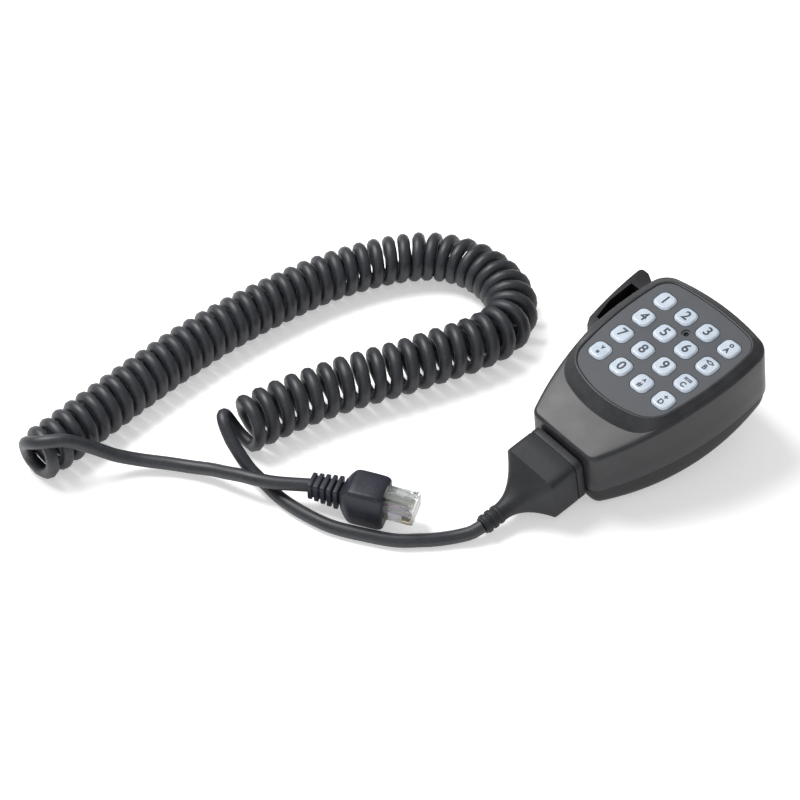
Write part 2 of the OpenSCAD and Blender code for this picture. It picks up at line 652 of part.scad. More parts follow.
module clamp_screws() seated() color("#9a9da1")
    for (x = [-clamp_screw_x, clamp_screw_x]) translate([x, clamp_y, 0]) {
        translate([0, 0, clamp_z - clamp_screw_l + 0.6])
            cylinder(d = clamp_screw_d, h = clamp_t + clamp_screw_l, $fn = 24);
        translate([0, 0, clamp_z + clamp_t + 2 * eps]) cylinder(d = 3.8, h = 1.4, $fn = 24);
    }
header_w = 17;
header_l = 5.4;
header_h = 5;
header_y = -25;
module cord_header() seated() color("#e8e4d8") difference() {
    on_board([0, header_y], header_w, header_l, header_h);
    translate([-header_w / 2 + 1, header_y - header_l / 2 - 1, pcb_under - header_h + 1])
        cube([header_w - 2, 3.4, header_h - 2]);
}
wire_d = 1;
wire_n = 8;
module cord_wires() seated() color("#8a3b32") {
    translate([0, collar_y + collar_t, -boot_axis]) rotate([-90, 0, 0])
        cylinder(d = tail_d, h = 13, $fn = 40);
    for (i = [0:wire_n - 1]) let (x = (i - (wire_n - 1) / 2) * 1.9, y0 = collar_y + collar_t + 12.5,
            x0 = (floor(i / 2) - 1.5) * 1.2, up = i % 2 == 0 ? 0.6 : -0.6)
        sweep([[x0, y0, -boot_axis + up], [x0 * 1.1, y0 + 4, -boot_axis + 1.2 + up],
               [(x + x0) / 2, (y0 + header_y) / 2 - 1, -boot_axis + 6.5 + up / 2],
               [x, header_y - 5, pcb_under - header_h / 2 - 0.4],
               [x, header_y - header_l / 2 + 2, pcb_under - header_h / 2]], [wire_d / 2], 6, [1, 0, 0]);
}

// ---- the curly cord -------------------------------------------------------
// Sweeps a circle of the given radii, one or one for each point, along points.
module sweep(path, radii, sides, side) {
    n = len(path);
    function dir(i) = let (a = path[max(i - 1, 0)], b = path[min(i + 1, n - 1)]) (b - a) / norm(b - a);
    function ring(i) = let (d = dir(i), s0 = side == undef ? cross(d, [0, 0, 1]) : side - d * (side * d),
                            s = s0 / norm(s0), u = cross(d, s), r = radii[min(i, len(radii) - 1)])
        [for (k = [0:sides - 1]) path[i] + r * (cos(360 * k / sides) * s + sin(360 * k / sides) * u)];
    loft([for (i = [0:n - 1]) ring(i)]);
}
// Points of a smooth curve through p, with per points for each stretch.
function smooth_path(p, per) = let (n = len(p))
    concat([for (i = [0:n - 2], k = [0:per - 1]) let (t = k / per, a = p[max(i - 1, 0)], b = p[i],
                c = p[i + 1], d = p[min(i + 2, n - 1)])
        ((2 * b) + (c - a) * t + (2 * a - 5 * b + 4 * c - d) * t * t
         + (3 * b - a - 3 * c + d) * t * t * t) / 2], [p[n - 1]]);
coil_r = coil_d / 2;
coil_wide_r = coil_wide_d / 2;
// Middle of the coil on the surface, from the plug lead to the microphone lead.
coil_route = [[-138.5, -195.5], [-139, -186], [-143, -164], [-147, -142], [-150, -124], [-152.5, -106],
              [-154, -89], [-154.5, -72], [-154, -56], [-153, -39], [-150.5, -23.5], [-146.5, -8.5],
              [-141, 5], [-133.5, 17], [-122, 26], [-107, 30], [-91, 28], [-79.5, 20.5],
              [-74, 9], [-75, -7.5], [-78.5, -22], [-82, -36.5], [-86, -50.5], [-90, -64],
              [-93, -77.5], [-95.5, -91.5], [-97, -106.5], [-97.5, -117]];
function coil_ring_r(i) = i < 14 ? coil_r : i > 18 ? coil_wide_r
    : coil_r + (coil_wide_r - coil_r) * (i - 14) / 4;
module cord_coil() color("#23252b")
    sweep([for (i = [0:len(coil_route) - 1]) [coil_route[i].x, coil_route[i].y, coil_ring_r(i) + 0.02]],
          [for (i = [0:len(coil_route) - 1]) coil_ring_r(i)], 12);
exit_point = seat_point([0, boot_end, -boot_axis]);
lead_z = cord_d / 2 + 0.02;
mic_lead_route = [[3.4, -73, 4.4], [1.2, -77.2, 3.5], [-1, -81, 3], [-4, -86.3, lead_z],
                  [-7.6, -91.4, lead_z], [-13.4, -98.8, lead_z], [-23, -106.5, lead_z],
                  [-36, -115, lead_z], [-50, -120, lead_z], [-62, -122.3, lead_z], [-73, -122.8, 3.4],
                  [-81, -124, 5.8], [-88.5, -124.7, 11], [-95.5, -124.8, 16.5], [-101, -123.8, 20.5],
                  [-104.5, -121.3, 21.5], [-106, -118.5, 18.5]];
module cord_lead_mic() color("#23252b")
    sweep(smooth_path(concat([exit_point], mic_lead_route), 2), [cord_d / 2], 8);
plug_lead_route = [[-138.5, -195.5, 20.3], [-134.5, -194, 23], [-131.5, -190, 24.4],
                   [-129.8, -185, 23.4], [-127.8, -180, 20.6], [-125.5, -175, 16.8],
                   [-122.8, -170, 12.6], [-119.5, -165, 9], [-114, -157.5, 6], [-105.5, -148.3, 4.6],
                   [-98, -142, 4.6], [-90.5, -137, 6], [-84, -134, 7.6], [-77.5, -130.8, 9.2],
                   [-71, -127.3, 10], [-64, -121.8, 10]];
module cord_lead_plug() color("#23252b")
    sweep(smooth_path(concat(plug_lead_route, [plug_foot]), 2), [cord_d / 2], 8);

// ---- modular plug ---------------------------------------------------------
plug_turn = 33;
plug_foot = [-54.5, -111.7, cover_h / 2];
// The plug's own axes: X along it towards the contacts, Y across, Z up.
module at_plug() translate(plug_foot) rotate([0, 0, plug_turn]) children();
cover_from = tail_l + 0.6;
module plug_cover() at_plug() color("#282a33") difference() {
    union() {
        rib_n = 5;
        step = tail_l / rib_n;
        for (i = [0:rib_n - 1]) let (w = 8.6 + i * 0.5)
            translate([i * step, -w / 2, -w / 2]) cube([step * 0.6, w, w]);
        translate([0, -3.8, -3.8]) cube([cover_from, 7.6, 7.6]);
        rotate([90, 0, 90]) {
            translate([0, 0, cover_from - 0.4]) hull() {
                linear_extrude(0.4) polygon(square_round(10.4, 1.5));
                translate([0, 0, 4.4]) linear_extrude(cover_l - 5) offset(1.6)
                    square([cover_w - 3.2, cover_h - 3.2], center = true);
                translate([0, 0, 4.4]) linear_extrude(cover_l - 4) offset(0.8)
                    square([cover_w - 3.2, cover_h - 3.2], center = true);
            }
        }
    }
    translate([plug_from, -plug_w / 2 - 0.1, plug_low - 0.1])
        cube([plug_held + 3, plug_w + 0.2, plug_t + 0.2]);
    translate([plug_from, -latch_w / 2 - 0.6, plug_low])
        cube([plug_held + 3, latch_w + 1.2, cover_h / 2 - 0.9 - plug_low]);
}
plug_low = -2.6;
plug_top = plug_low + plug_t;
plug_from = cover_from + cover_l - plug_held;
blade_n = 8;
blade_pitch = 1.02;
blade_l = 3.6;
blade_h = 3;
blade_inset = 1.2;
blade_x = plug_from + plug_l - blade_inset - blade_l;
wire_z = plug_low + blade_h + 0.8;
function blade_y(i) = (i - (blade_n - 1) / 2) * blade_pitch;
module plug_body() at_plug() color("#e9edf0") {
    latch_cheeks();
    plug_block();
}
module plug_block() difference() {
    translate([plug_from + 0.1, -plug_w / 2, plug_low]) cube([plug_l, plug_w, plug_t]);
    for (i = [0:blade_n - 1]) translate([blade_x - 0.1, blade_y(i) - contact_t / 2 - 0.05, plug_low - 1])
        cube([blade_l + 0.2, contact_t + 0.1, blade_h + 1.1]);
    for (i = [0:blade_n - 1]) translate([plug_from - 1, blade_y(i), wire_z]) rotate([0, 90, 0])
        cylinder(d = 0.94, h = plug_l - 1, $fn = 16);
}
module plug_contacts() at_plug() color("#c9a449")
    for (i = [0:blade_n - 1]) translate([blade_x, blade_y(i) - contact_t / 2, plug_low + 0.4])
        cube([blade_l, contact_t, blade_h - 0.4]);
module plug_wires() at_plug() color("#3b4f9a")
    for (i = [0:blade_n - 1]) translate([plug_from + 0.3, blade_y(i), wire_z]) rotate([0, 90, 0])
        cylinder(d = 0.84, h = plug_l - 2.6, $fn = 16);
latch_w = 6.2;
latch_t = 1;
latch_l = 11.6;
latch_lean = 9;
latch_pin_d = 1;
latch_pin_play = 0.05;
latch_side_gap = 0.15;
latch_up = latch_side_gap + latch_t / 2;
cheek_t = 0.9;
cheek_l = 1.8;
latch_x = plug_from + plug_l - 1.6;
module plug_latch() at_plug() color("#e9edf0") translate([latch_x, 0, plug_top + latch_up]) {
    rotate([90, 0, 0]) linear_extrude(latch_w, center = true)
        polygon([[0, -latch_t / 2], [0, latch_t / 2],
                 [-latch_l * cos(latch_lean), latch_l * sin(latch_lean) + latch_t / 2],
                 [-latch_l * cos(latch_lean), latch_l * sin(latch_lean) - latch_t / 2]]);
    rotate([90, 0, 0]) cylinder(d = latch_t, h = latch_w, center = true, $fn = 32);
    rotate([90, 0, 0]) cylinder(d = latch_pin_d, h = latch_w + 2 * (latch_side_gap + cheek_t), center = true, $fn = 32);
}
// Cheeks beside the latch, with the holes its pin turns in.
module latch_cheeks()
    for (side = [-1, 1]) translate([latch_x, side * (latch_w / 2 + latch_side_gap + cheek_t / 2), plug_top]) difference() {
        translate([-cheek_l / 2, -cheek_t / 2, -eps]) cube([cheek_l, cheek_t, latch_up + 0.9]);
        translate([0, 0, latch_up]) rotate([90, 0, 0])
            cylinder(d = latch_pin_d + 2 * latch_pin_play, h = 3, center = true, $fn = 32);
    }

front_case();
rear_case();
key_panel();
key_1();
key_2();
key_3();
key_a();
key_4();
key_5();
key_6();
key_b();
key_7();
key_8();
key_9();
key_c();
key_star();
key_0();
key_hash();
key_d();
keypad_mat();
contact_domes();
main_pcb();
pcb_chips();
backlight_leds();
mic_capsule();
capsule_boot();
dust_cloth();
ptt_lever();
ptt_pin();
ptt_spring();
ptt_switch();
ptt_plunger();
hang_knob();
hang_knob_screw();
case_screws();
cord_boot();
cord_clamp();
clamp_screws();
cord_header();
cord_wires();
cord_lead_mic();
cord_coil();
cord_lead_plug();
plug_cover();
plug_body();
plug_contacts();
plug_latch();
plug_wires();
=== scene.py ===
import math
import bpy
import bmesh
from mathutils import Matrix, Vector, Euler


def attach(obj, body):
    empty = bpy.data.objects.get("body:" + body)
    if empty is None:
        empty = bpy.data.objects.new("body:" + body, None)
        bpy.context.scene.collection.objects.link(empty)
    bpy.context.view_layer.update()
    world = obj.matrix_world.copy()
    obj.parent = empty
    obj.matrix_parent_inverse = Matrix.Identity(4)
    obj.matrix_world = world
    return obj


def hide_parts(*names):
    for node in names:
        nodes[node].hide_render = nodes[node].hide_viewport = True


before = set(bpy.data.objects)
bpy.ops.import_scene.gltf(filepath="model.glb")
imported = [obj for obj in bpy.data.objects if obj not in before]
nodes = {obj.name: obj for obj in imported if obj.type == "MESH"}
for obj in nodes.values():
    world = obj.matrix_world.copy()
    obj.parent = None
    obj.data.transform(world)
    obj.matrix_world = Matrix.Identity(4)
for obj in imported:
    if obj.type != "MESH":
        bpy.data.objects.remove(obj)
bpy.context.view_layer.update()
print("frame loaded:", len(nodes), "CAD nodes")

mm = 0.001

# where the microphone lies: its own axes are X right, Y to the top, Z out of the keys
seat = {"x": 4.5, "y": 28.5669, "z": 49.0, "tilt": math.radians(10.35)}
seatPlace = Vector((seat["x"], seat["y"], seat["z"])) * mm
seatMatrix = Matrix.Translation(seatPlace) @ Matrix.Rotation(seat["tilt"], 4, "X")

plugSeat = {"foot": (-54.5, -111.7, 9.85), "turn": math.radians(33)}
plugMatrix = Matrix.Translation(Vector(plugSeat["foot"]) * mm) @ Matrix.Rotation(plugSeat["turn"], 4, "Z")


# small helpers
def deselectAll():
    if bpy.context.object and bpy.context.object.mode != "OBJECT":
        bpy.ops.object.mode_set(mode="OBJECT")
    bpy.ops.object.select_all(action="DESELECT")


def pickOnly(obj):
    deselectAll()
    obj.select_set(True)
    bpy.context.view_layer.objects.active = obj


def applyModifier(obj, kind, name, **values):
    pickOnly(obj)
    mod = obj.modifiers.new(name, kind)
    for key, value in values.items():
        setattr(mod, key, value)
    bpy.ops.object.modifier_apply(modifier=mod.name)


def smoothByAngle(obj, degrees):
    pickOnly(obj)
    bpy.ops.object.shade_smooth_by_angle(angle=math.radians(degrees))


def fixNormals(obj, weld=0.000005):
    pickOnly(obj)
    bpy.ops.object.mode_set(mode="EDIT")
    bpy.ops.mesh.select_all(action="SELECT")
    bpy.ops.mesh.remove_doubles(threshold=weld)
    bpy.ops.mesh.normals_make_consistent(inside=False)
    bpy.ops.object.mode_set(mode="OBJECT")


def placeMesh(obj, matrix):
    # moves the shape inside the mesh, so the object itself stays at the origin
    obj.data.transform(matrix)
    obj.data.update()


def finishPiece(obj, name, body, material, replaces=()):
    obj.name = name
    obj.data.name = name
    obj.data.materials.clear()
    obj.data.materials.append(material)
    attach(obj, body)
    if replaces:
        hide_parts(*replaces)
    return obj


def ringSolid(name, rings, ends="caps"):
    # a circle is drawn, laid on the first ring, and its edge extruded from ring to ring
    # ends: caps fills both ends, strips fills both across X, join closes last on first
    count = len(rings[0])
    deselectAll()
    bpy.ops.mesh.primitive_circle_add(vertices=count, radius=1)
    obj = bpy.context.object
    obj.name = name
    for vert, point in zip(obj.data.vertices, rings[0]):
        vert.co = Vector(point) * mm
    bpy.ops.object.mode_set(mode="EDIT")
    bpy.ops.mesh.select_mode(type="VERT")
    bpy.ops.mesh.select_all(action="SELECT")
    mesh = bmesh.from_edit_mesh(obj.data)
    mesh.verts.ensure_lookup_table()
    for ring in rings[1:]:
        before = len(mesh.verts)
        bpy.ops.mesh.extrude_edges_move()
        mesh = bmesh.from_edit_mesh(obj.data)
        mesh.verts.ensure_lookup_table()
        mesh.verts.index_update()
        old = [mesh.verts[i] for i in range(before - count, before)]
        fresh = set(mesh.verts[i] for i in range(before, before + count))
        for i, (vert, point) in enumerate(zip(old, ring)):
            grown = next(e.other_vert(vert) for e in vert.link_edges if e.other_vert(vert) in fresh)
            grown.co = Vector(point) * mm
            grown.index = before + i
        mesh.verts.sort()
        bmesh.update_edit_mesh(obj.data)
    mesh = bmesh.from_edit_mesh(obj.data)
    mesh.verts.ensure_lookup_table()
    total = len(mesh.verts)
    first = [mesh.verts[i] for i in range(count)]
    last = [mesh.verts[i] for i in range(total - count, total)]
    if ends == "caps":
        mesh.faces.new(first)
        mesh.faces.new(list(reversed(last)))
    if ends == "strips":
        for loop in (first, last):
            for i in range(count // 2):
                corner = [loop[i], loop[i + 1], loop[count - i - 1], loop[(count - i) % count]]
                kept = [v for k, v in enumerate(corner) if v not in corner[:k]]
                mesh.faces.new(kept)
    if ends == "join":
        for i in range(count):
            k = (i + 1) % count
            mesh.faces.new([last[i], last[k], first[k], first[i]])
    bmesh.update_edit_mesh(obj.data)
    bpy.ops.mesh.select_all(action="SELECT")
    bpy.ops.mesh.normals_make_consistent(inside=False)
    bpy.ops.object.mode_set(mode="OBJECT")
    return obj


def boxSolid(low, high):
    deselectAll()
    bpy.ops.mesh.primitive_cube_add(size=1)
    obj = bpy.context.object
    for vert in obj.data.vertices:
        vert.co = Vector([(low[k] if vert.co[k] < 0 else high[k]) * mm for k in range(3)])
    return obj


def rodSolid(start, end, radius, sides=32):
    deselectAll()
    bpy.ops.mesh.primitive_cylinder_add(vertices=sides, radius=radius * mm, depth=1)
    obj = bpy.context.object
    a, b = Vector(start) * mm, Vector(end) * mm
    turn = (b - a).to_track_quat("Z", "Y").to_matrix().to_4x4()
    placeMesh(obj, Matrix.Translation((a + b) / 2) @ turn @ Matrix.Diagonal((1, 1, (b - a).length, 1)))
    return obj


def cutWith(obj, cutter):
    applyModifier(obj, "BOOLEAN", "cut", object=cutter, operation="DIFFERENCE", solver="EXACT")
    bpy.data.objects.remove(cutter)


def joinWith(obj, other):
    applyModifier(obj, "BOOLEAN", "join", object=other, operation="UNION", solver="EXACT")
    bpy.data.objects.remove(other)


def bevelEdges(obj, width, segments=3, degrees=35):
    applyModifier(obj, "BEVEL", "bevel", width=width * mm, segments=segments, limit_method="ANGLE",
                  angle_limit=math.radians(degrees), harden_normals=False)


# camera
cameraSet = {"at": (0.35721, -0.39366, 0.56776), "turn": (44.44, 0, 51.33), "lens": 81, "sensor": 36}
bpy.ops.object.camera_add()
camera = bpy.context.object
camera.location = cameraSet["at"]
camera.rotation_euler = Euler([math.radians(a) for a in cameraSet["turn"]])
camera.data.lens = cameraSet["lens"]
camera.data.sensor_width = cameraSet["sensor"]
camera.data.clip_start = 0.01
bpy.context.scene.camera = camera
print("camera placed")


# materials
def newMaterial(name):
    material = bpy.data.materials.new(name)
    material.use_nodes = True
    tree = material.node_tree
    tree.nodes.clear()
    out = tree.nodes.new("ShaderNodeOutputMaterial")
    shader = tree.nodes.new("ShaderNodeBsdfPrincipled")
    tree.links.new(shader.outputs["BSDF"], out.inputs["Surface"])
    return material, tree, shader


def objectPoint(tree, scale):
    coords = tree.nodes.new("ShaderNodeTexCoord")
    mapping = tree.nodes.new("ShaderNodeMapping")
    mapping.inputs["Scale"].default_value = (scale, scale, scale)
    tree.links.new(coords.outputs["Object"], mapping.inputs["Vector"])
    return mapping.outputs["Vector"]


def noise(tree, point, size, detail=3, roughness=0.5):
    node = tree.nodes.new("ShaderNodeTexNoise")
    node.inputs["Scale"].default_value = size
    node.inputs["Detail"].default_value = detail
    node.inputs["Roughness"].default_value = roughness
    tree.links.new(point, node.inputs["Vector"])
    return node.outputs["Fac"]


def ramp(tree, factor, stops, constant=False):
    node = tree.nodes.new("ShaderNodeValToRGB")
    if constant:
        node.color_ramp.interpolation = "CONSTANT"
    while len(node.color_ramp.elements) < len(stops):
        node.color_ramp.elements.new(0.5)
    for element, (place, colour) in zip(node.color_ramp.elements, stops):
        element.position = place
        element.color = (*colour, 1) if len(colour) == 3 else colour
    tree.links.new(factor, node.inputs["Fac"])
    return node.outputs["Color"]


def bump(tree, shader, height, strength, distance):
    node = tree.nodes.new("ShaderNodeBump")
    node.inputs["Strength"].default_value = strength
    node.inputs["Distance"].default_value = distance * mm
    tree.links.new(height, node.inputs["Height"])
    tree.links.new(node.outputs["Normal"], shader.inputs["Normal"])


def speckled(name, dark, light, roughness=(0.5, 0.62), grain=1600, grainBump=0.12, specular=0.5):
    # moulded plastic: fine spark grain, a slow drift of colour and of gloss
    material, tree, shader = newMaterial(name)
    point = objectPoint(tree, 1)
    fine = noise(tree, point, grain, 4, 0.6)
    slow = noise(tree, point, 90, 3, 0.55)
    mix = tree.nodes.new("ShaderNodeMix")
    mix.data_type = "FLOAT"
    mix.inputs[0].default_value = 0.4
    tree.links.new(fine, mix.inputs[2])
    tree.links.new(slow, mix.inputs[3])
    tree.links.new(ramp(tree, mix.outputs[0], [(0.32, dark), (0.68, light)]), shader.inputs["Base Color"])
    gloss = ramp(tree, slow, [(0.3, (roughness[0],) * 3), (0.7, (roughness[1],) * 3)])
    tree.links.new(gloss, shader.inputs["Roughness"])
    shader.inputs["Specular IOR Level"].default_value = specular
    bump(tree, shader, fine, 1.0, grainBump * 0.1)
    return material


def metal(name, dark, light, rough=0.3):
    material, tree, shader = newMaterial(name)
    point = objectPoint(tree, 1)
    streak = noise(tree, point, 900, 5, 0.7)
    tree.links.new(ramp(tree, streak, [(0.3, dark), (0.7, light)]), shader.inputs["Base Color"])
    shader.inputs["Metallic"].default_value = 1
    shader.inputs["Roughness"].default_value = rough
    bump(tree, shader, streak, 0.5, 0.01)
    return material


casePlastic = speckled("casePlastic", (0.012, 0.0125, 0.0145), (0.040, 0.041, 0.044), (0.36, 0.44),
                       grain=2600, grainBump=0.16, specular=0.35)
rearPlastic = speckled("rearPlastic", (0.010, 0.0105, 0.012), (0.028, 0.029, 0.032), (0.42, 0.52),
                       grain=2600, grainBump=0.14, specular=0.35)
panelPlastic = speckled("panelPlastic", (0.070, 0.075, 0.084), (0.092, 0.097, 0.107), (0.46, 0.56),
                        grain=2400, grainBump=0.04, specular=0.3)
leverPlastic = speckled("leverPlastic", (0.008, 0.0085, 0.010), (0.022, 0.023, 0.026), (0.38, 0.48),
                        grain=2600, grainBump=0.12, specular=0.3)
knobPlastic = speckled("knobPlastic", (0.008, 0.008, 0.010), (0.020, 0.021, 0.024), (0.30, 0.40),
                       specular=0.4)
bootRubber = speckled("bootRubber", (0.016, 0.017, 0.019), (0.030, 0.031, 0.035), (0.46, 0.58),
                      grain=1100, grainBump=0.06, specular=0.25)
coverRubber = speckled("coverRubber", (0.012, 0.013, 0.020), (0.026, 0.028, 0.042), (0.34, 0.46),
                       grain=900, grainBump=0.05, specular=0.3)
jacketRubber = speckled("jacketRubber", (0.014, 0.015, 0.019), (0.030, 0.032, 0.039), (0.42, 0.54),
                        grain=700, grainBump=0.06, specular=0.5)
blackMoulding = speckled("blackMoulding", (0.012, 0.012, 0.013), (0.03, 0.03, 0.033), (0.4, 0.5))
greyMoulding = speckled("greyMoulding", (0.15, 0.15, 0.16), (0.22, 0.22, 0.23), (0.45, 0.55))
nylon = speckled("nylon", (0.66, 0.63, 0.54), (0.78, 0.75, 0.66), (0.4, 0.5))
ivory = speckled("ivory", (0.62, 0.58, 0.48), (0.74, 0.70, 0.60), (0.35, 0.45))
silicone = speckled("silicone", (0.34, 0.37, 0.39), (0.46, 0.49, 0.51), (0.45, 0.6))
boardMask = speckled("boardMask", (0.008, 0.075, 0.035), (0.018, 0.13, 0.06), (0.25, 0.35), grain=600)
lampLens = speckled("lampLens", (0.78, 0.76, 0.62), (0.9, 0.88, 0.78), (0.2, 0.3))
dustFelt = speckled("dustFelt", (0.005, 0.005, 0.006), (0.02, 0.02, 0.022), (0.8, 0.95), grain=3000,
                    grainBump=0.3)
pinSteel = metal("pinSteel", (0.46, 0.46, 0.48), (0.66, 0.66, 0.68), 0.28)
springSteel = metal("springSteel", (0.5, 0.5, 0.53), (0.7, 0.7, 0.72), 0.25)
zincSteel = metal("zincSteel", (0.34, 0.35, 0.37), (0.55, 0.56, 0.58), 0.36)
domeSteel = metal("domeSteel", (0.55, 0.55, 0.57), (0.75, 0.75, 0.77), 0.22)
canAluminium = metal("canAluminium", (0.5, 0.5, 0.52), (0.7, 0.7, 0.72), 0.34)
goldPlate = metal("goldPlate", (0.42, 0.25, 0.05), (0.72, 0.50, 0.16), 0.26)


def milkyKey():
    material, tree, shader = newMaterial("milkyKey")
    point = objectPoint(tree, 1)
    slow = noise(tree, point, 160, 3, 0.5)
    milk = ramp(tree, slow, [(0.3, (0.45, 0.515, 0.60)), (0.7, (0.55, 0.61, 0.68))])
    tree.links.new(milk, shader.inputs["Base Color"])
    shader.inputs["Roughness"].default_value = 0.34
    shader.inputs["Subsurface Weight"].default_value = 0.25
    shader.inputs["Subsurface Radius"].default_value = (0.0012, 0.0014, 0.0016)
    shader.inputs["Subsurface Scale"].default_value = 1
    shader.inputs["Coat Weight"].default_value = 0.2
    bump(tree, shader, noise(tree, point, 1800, 3, 0.5), 0.6, 0.006)
    return material


def clearPlastic():
    material, tree, shader = newMaterial("clearPlastic")
    point = objectPoint(tree, 1)
    slow = noise(tree, point, 220, 3, 0.5)
    tint = ramp(tree, slow, [(0.3, (0.88, 0.90, 0.90)), (0.7, (0.97, 0.98, 0.98))])
    tree.links.new(tint, shader.inputs["Base Color"])
    shader.inputs["Transmission Weight"].default_value = 0.92
    shader.inputs["IOR"].default_value = 1.45
    shader.inputs["Roughness"].default_value = 0.06
    bump(tree, shader, slow, 0.5, 0.02)
    return material


def inkOnKeys():
    material, tree, shader = newMaterial("keyInk")
    point = objectPoint(tree, 1)
    grain = noise(tree, point, 900, 3, 0.6)
    tree.links.new(ramp(tree, grain, [(0.3, (0.022, 0.034, 0.060)), (0.7, (0.035, 0.05, 0.085))]),
                   shader.inputs["Base Color"])
    shader.inputs["Roughness"].default_value = 0.5
    return material


def stripedWires(name, turn, step, offset):
    # eight coloured wires side by side, each a flat band of the position across them
    material, tree, shader = newMaterial(name)
    coords = tree.nodes.new("ShaderNodeTexCoord")
    mapping = tree.nodes.new("ShaderNodeMapping")
    mapping.vector_type = "POINT"
    mapping.inputs["Rotation"].default_value = (0, 0, -turn)
    tree.links.new(coords.outputs["Object"], mapping.inputs["Vector"])
    split = tree.nodes.new("ShaderNodeSeparateXYZ")
    tree.links.new(mapping.outputs["Vector"], split.inputs["Vector"])
    spread = tree.nodes.new("ShaderNodeMapRange")
    spread.inputs["From Min"].default_value = (offset - 4 * step) * mm
    spread.inputs["From Max"].default_value = (offset + 4 * step) * mm
    tree.links.new(split.outputs["Y"], spread.inputs["Value"])
    colours = [(0.02, 0.05, 0.42), (0.42, 0.05, 0.03), (0.35, 0.36, 0.38), (0.03, 0.03, 0.03),
               (0.55, 0.42, 0.03), (0.03, 0.22, 0.06), (0.20, 0.08, 0.03), (0.62, 0.62, 0.60)]
    stops = [(i / 8, c) for i, c in enumerate(colours)]
    tree.links.new(ramp(tree, spread.outputs["Result"], stops, constant=True), shader.inputs["Base Color"])
    shader.inputs["Roughness"].default_value = 0.35
    return material


keyPlastic = milkyKey()
plugPlastic = clearPlastic()
keyInk = inkOnKeys()
footX, footY = plugSeat["foot"][:2]
acrossPlug = footY * math.cos(plugSeat["turn"]) - footX * math.sin(plugSeat["turn"])
plugWires = stripedWires("plugWires", plugSeat["turn"], 1.02, acrossPlug)
headWires = stripedWires("headWires", -math.pi / 2, 1.9, 4.5)
print("materials made")


# the cord, one wire from the boot through the coil to the plug
cord = {
    "radius": 2.9,
    "pitch": (6.84, 7.6),
    "turnPoints": 20,
    "micLead": [(4.5, -68.27, 5.9), (3.4, -73, 4.4), (1.2, -77.2, 3.5), (-1, -81, 3), (-4, -86.3, 2.92),
                (-7.6, -91.4, 2.92), (-13.4, -98.8, 2.92), (-23, -106.5, 2.92), (-36, -115, 2.92),
                (-50, -120, 2.92), (-62, -122.3, 2.92), (-73, -122.8, 3.4), (-81, -124, 5.8),
                (-88.5, -124.7, 11), (-95.5, -124.8, 16.5), (-101, -123.8, 20.5), (-104.5, -121.3, 21.5),
                (-106, -118.5, 18.5)],
    "coil": [(-138.5, -195.5), (-139, -186), (-143, -164), (-147, -142), (-150, -124), (-152.5, -106),
             (-154, -89), (-154.5, -72), (-154, -56), (-153, -39), (-150.5, -23.5), (-146.5, -8.5),
             (-141, 5), (-133.5, 17), (-122, 26), (-107, 30), (-91, 28), (-79.5, 20.5),
             (-74, 9), (-75, -7.5), (-78.5, -22), (-82, -36.5), (-86, -50.5), (-90, -64),
             (-93, -77.5), (-95.5, -91.5), (-97, -106.5), (-97.5, -117)],
    "coilOuter": (11.6, 12.5),
    "plugLead": [(-138.5, -195.5, 20.3), (-134.5, -194, 23), (-131.5, -190, 24.4), (-129.8, -185, 23.4),
                 (-127.8, -180, 20.6), (-125.5, -175, 16.8), (-122.8, -170, 12.6), (-119.5, -165, 9),
                 (-114, -157.5, 6), (-105.5, -148.3, 4.6), (-98, -142, 4.6), (-90.5, -137, 6),
                 (-84, -134, 7.6), (-77.5, -130.8, 9.2), (-71, -127.3, 10), (-64, -121.8, 10),
                 (-54.5, -111.7, 9.85)],
    "lastTurn": 270, "lift": 0.02, "spacing": 2.2, "axisStep": 0.25,
    "growFrom": 14, "growOver": 4,  # points of the coil's axis over which the coil gets thicker
    "loosenFrom": 0.52, "loosenOver": 0.12,  # share of the coil over which the turns open
    "smooth": 14, "smoothMic": (9, 7), "smoothPlug": (7, 7),  # rounds, and points round each join
}


def through(points, step):
    # points spaced evenly along a smooth curve through the given ones
    dense = []
    for i in range(len(points) - 1):
        a, b = points[max(i - 1, 0)], points[i]
        c, d = points[i + 1], points[min(i + 2, len(points) - 1)]
        for k in range(24):
            t = k / 24
            dense.append((b * 2 + (c - a) * t + (a * 2 - b * 5 + c * 4 - d) * t * t
                          + (b * 3 - a - c * 3 + d) * t ** 3) / 2)
    dense.append(points[-1])
    total = sum((dense[i + 1] - dense[i]).length for i in range(len(dense) - 1))
    count = max(2, round(total / step))
    result, walked, target = [dense[0]], 0.0, total / count
    for i in range(len(dense) - 1):
        part = (dense[i + 1] - dense[i]).length
        while walked + part >= target and len(result) < count:
            result.append(dense[i].lerp(dense[i + 1], (target - walked) / part))
            target += total / count
        walked += part
    result.append(dense[-1])
    return result


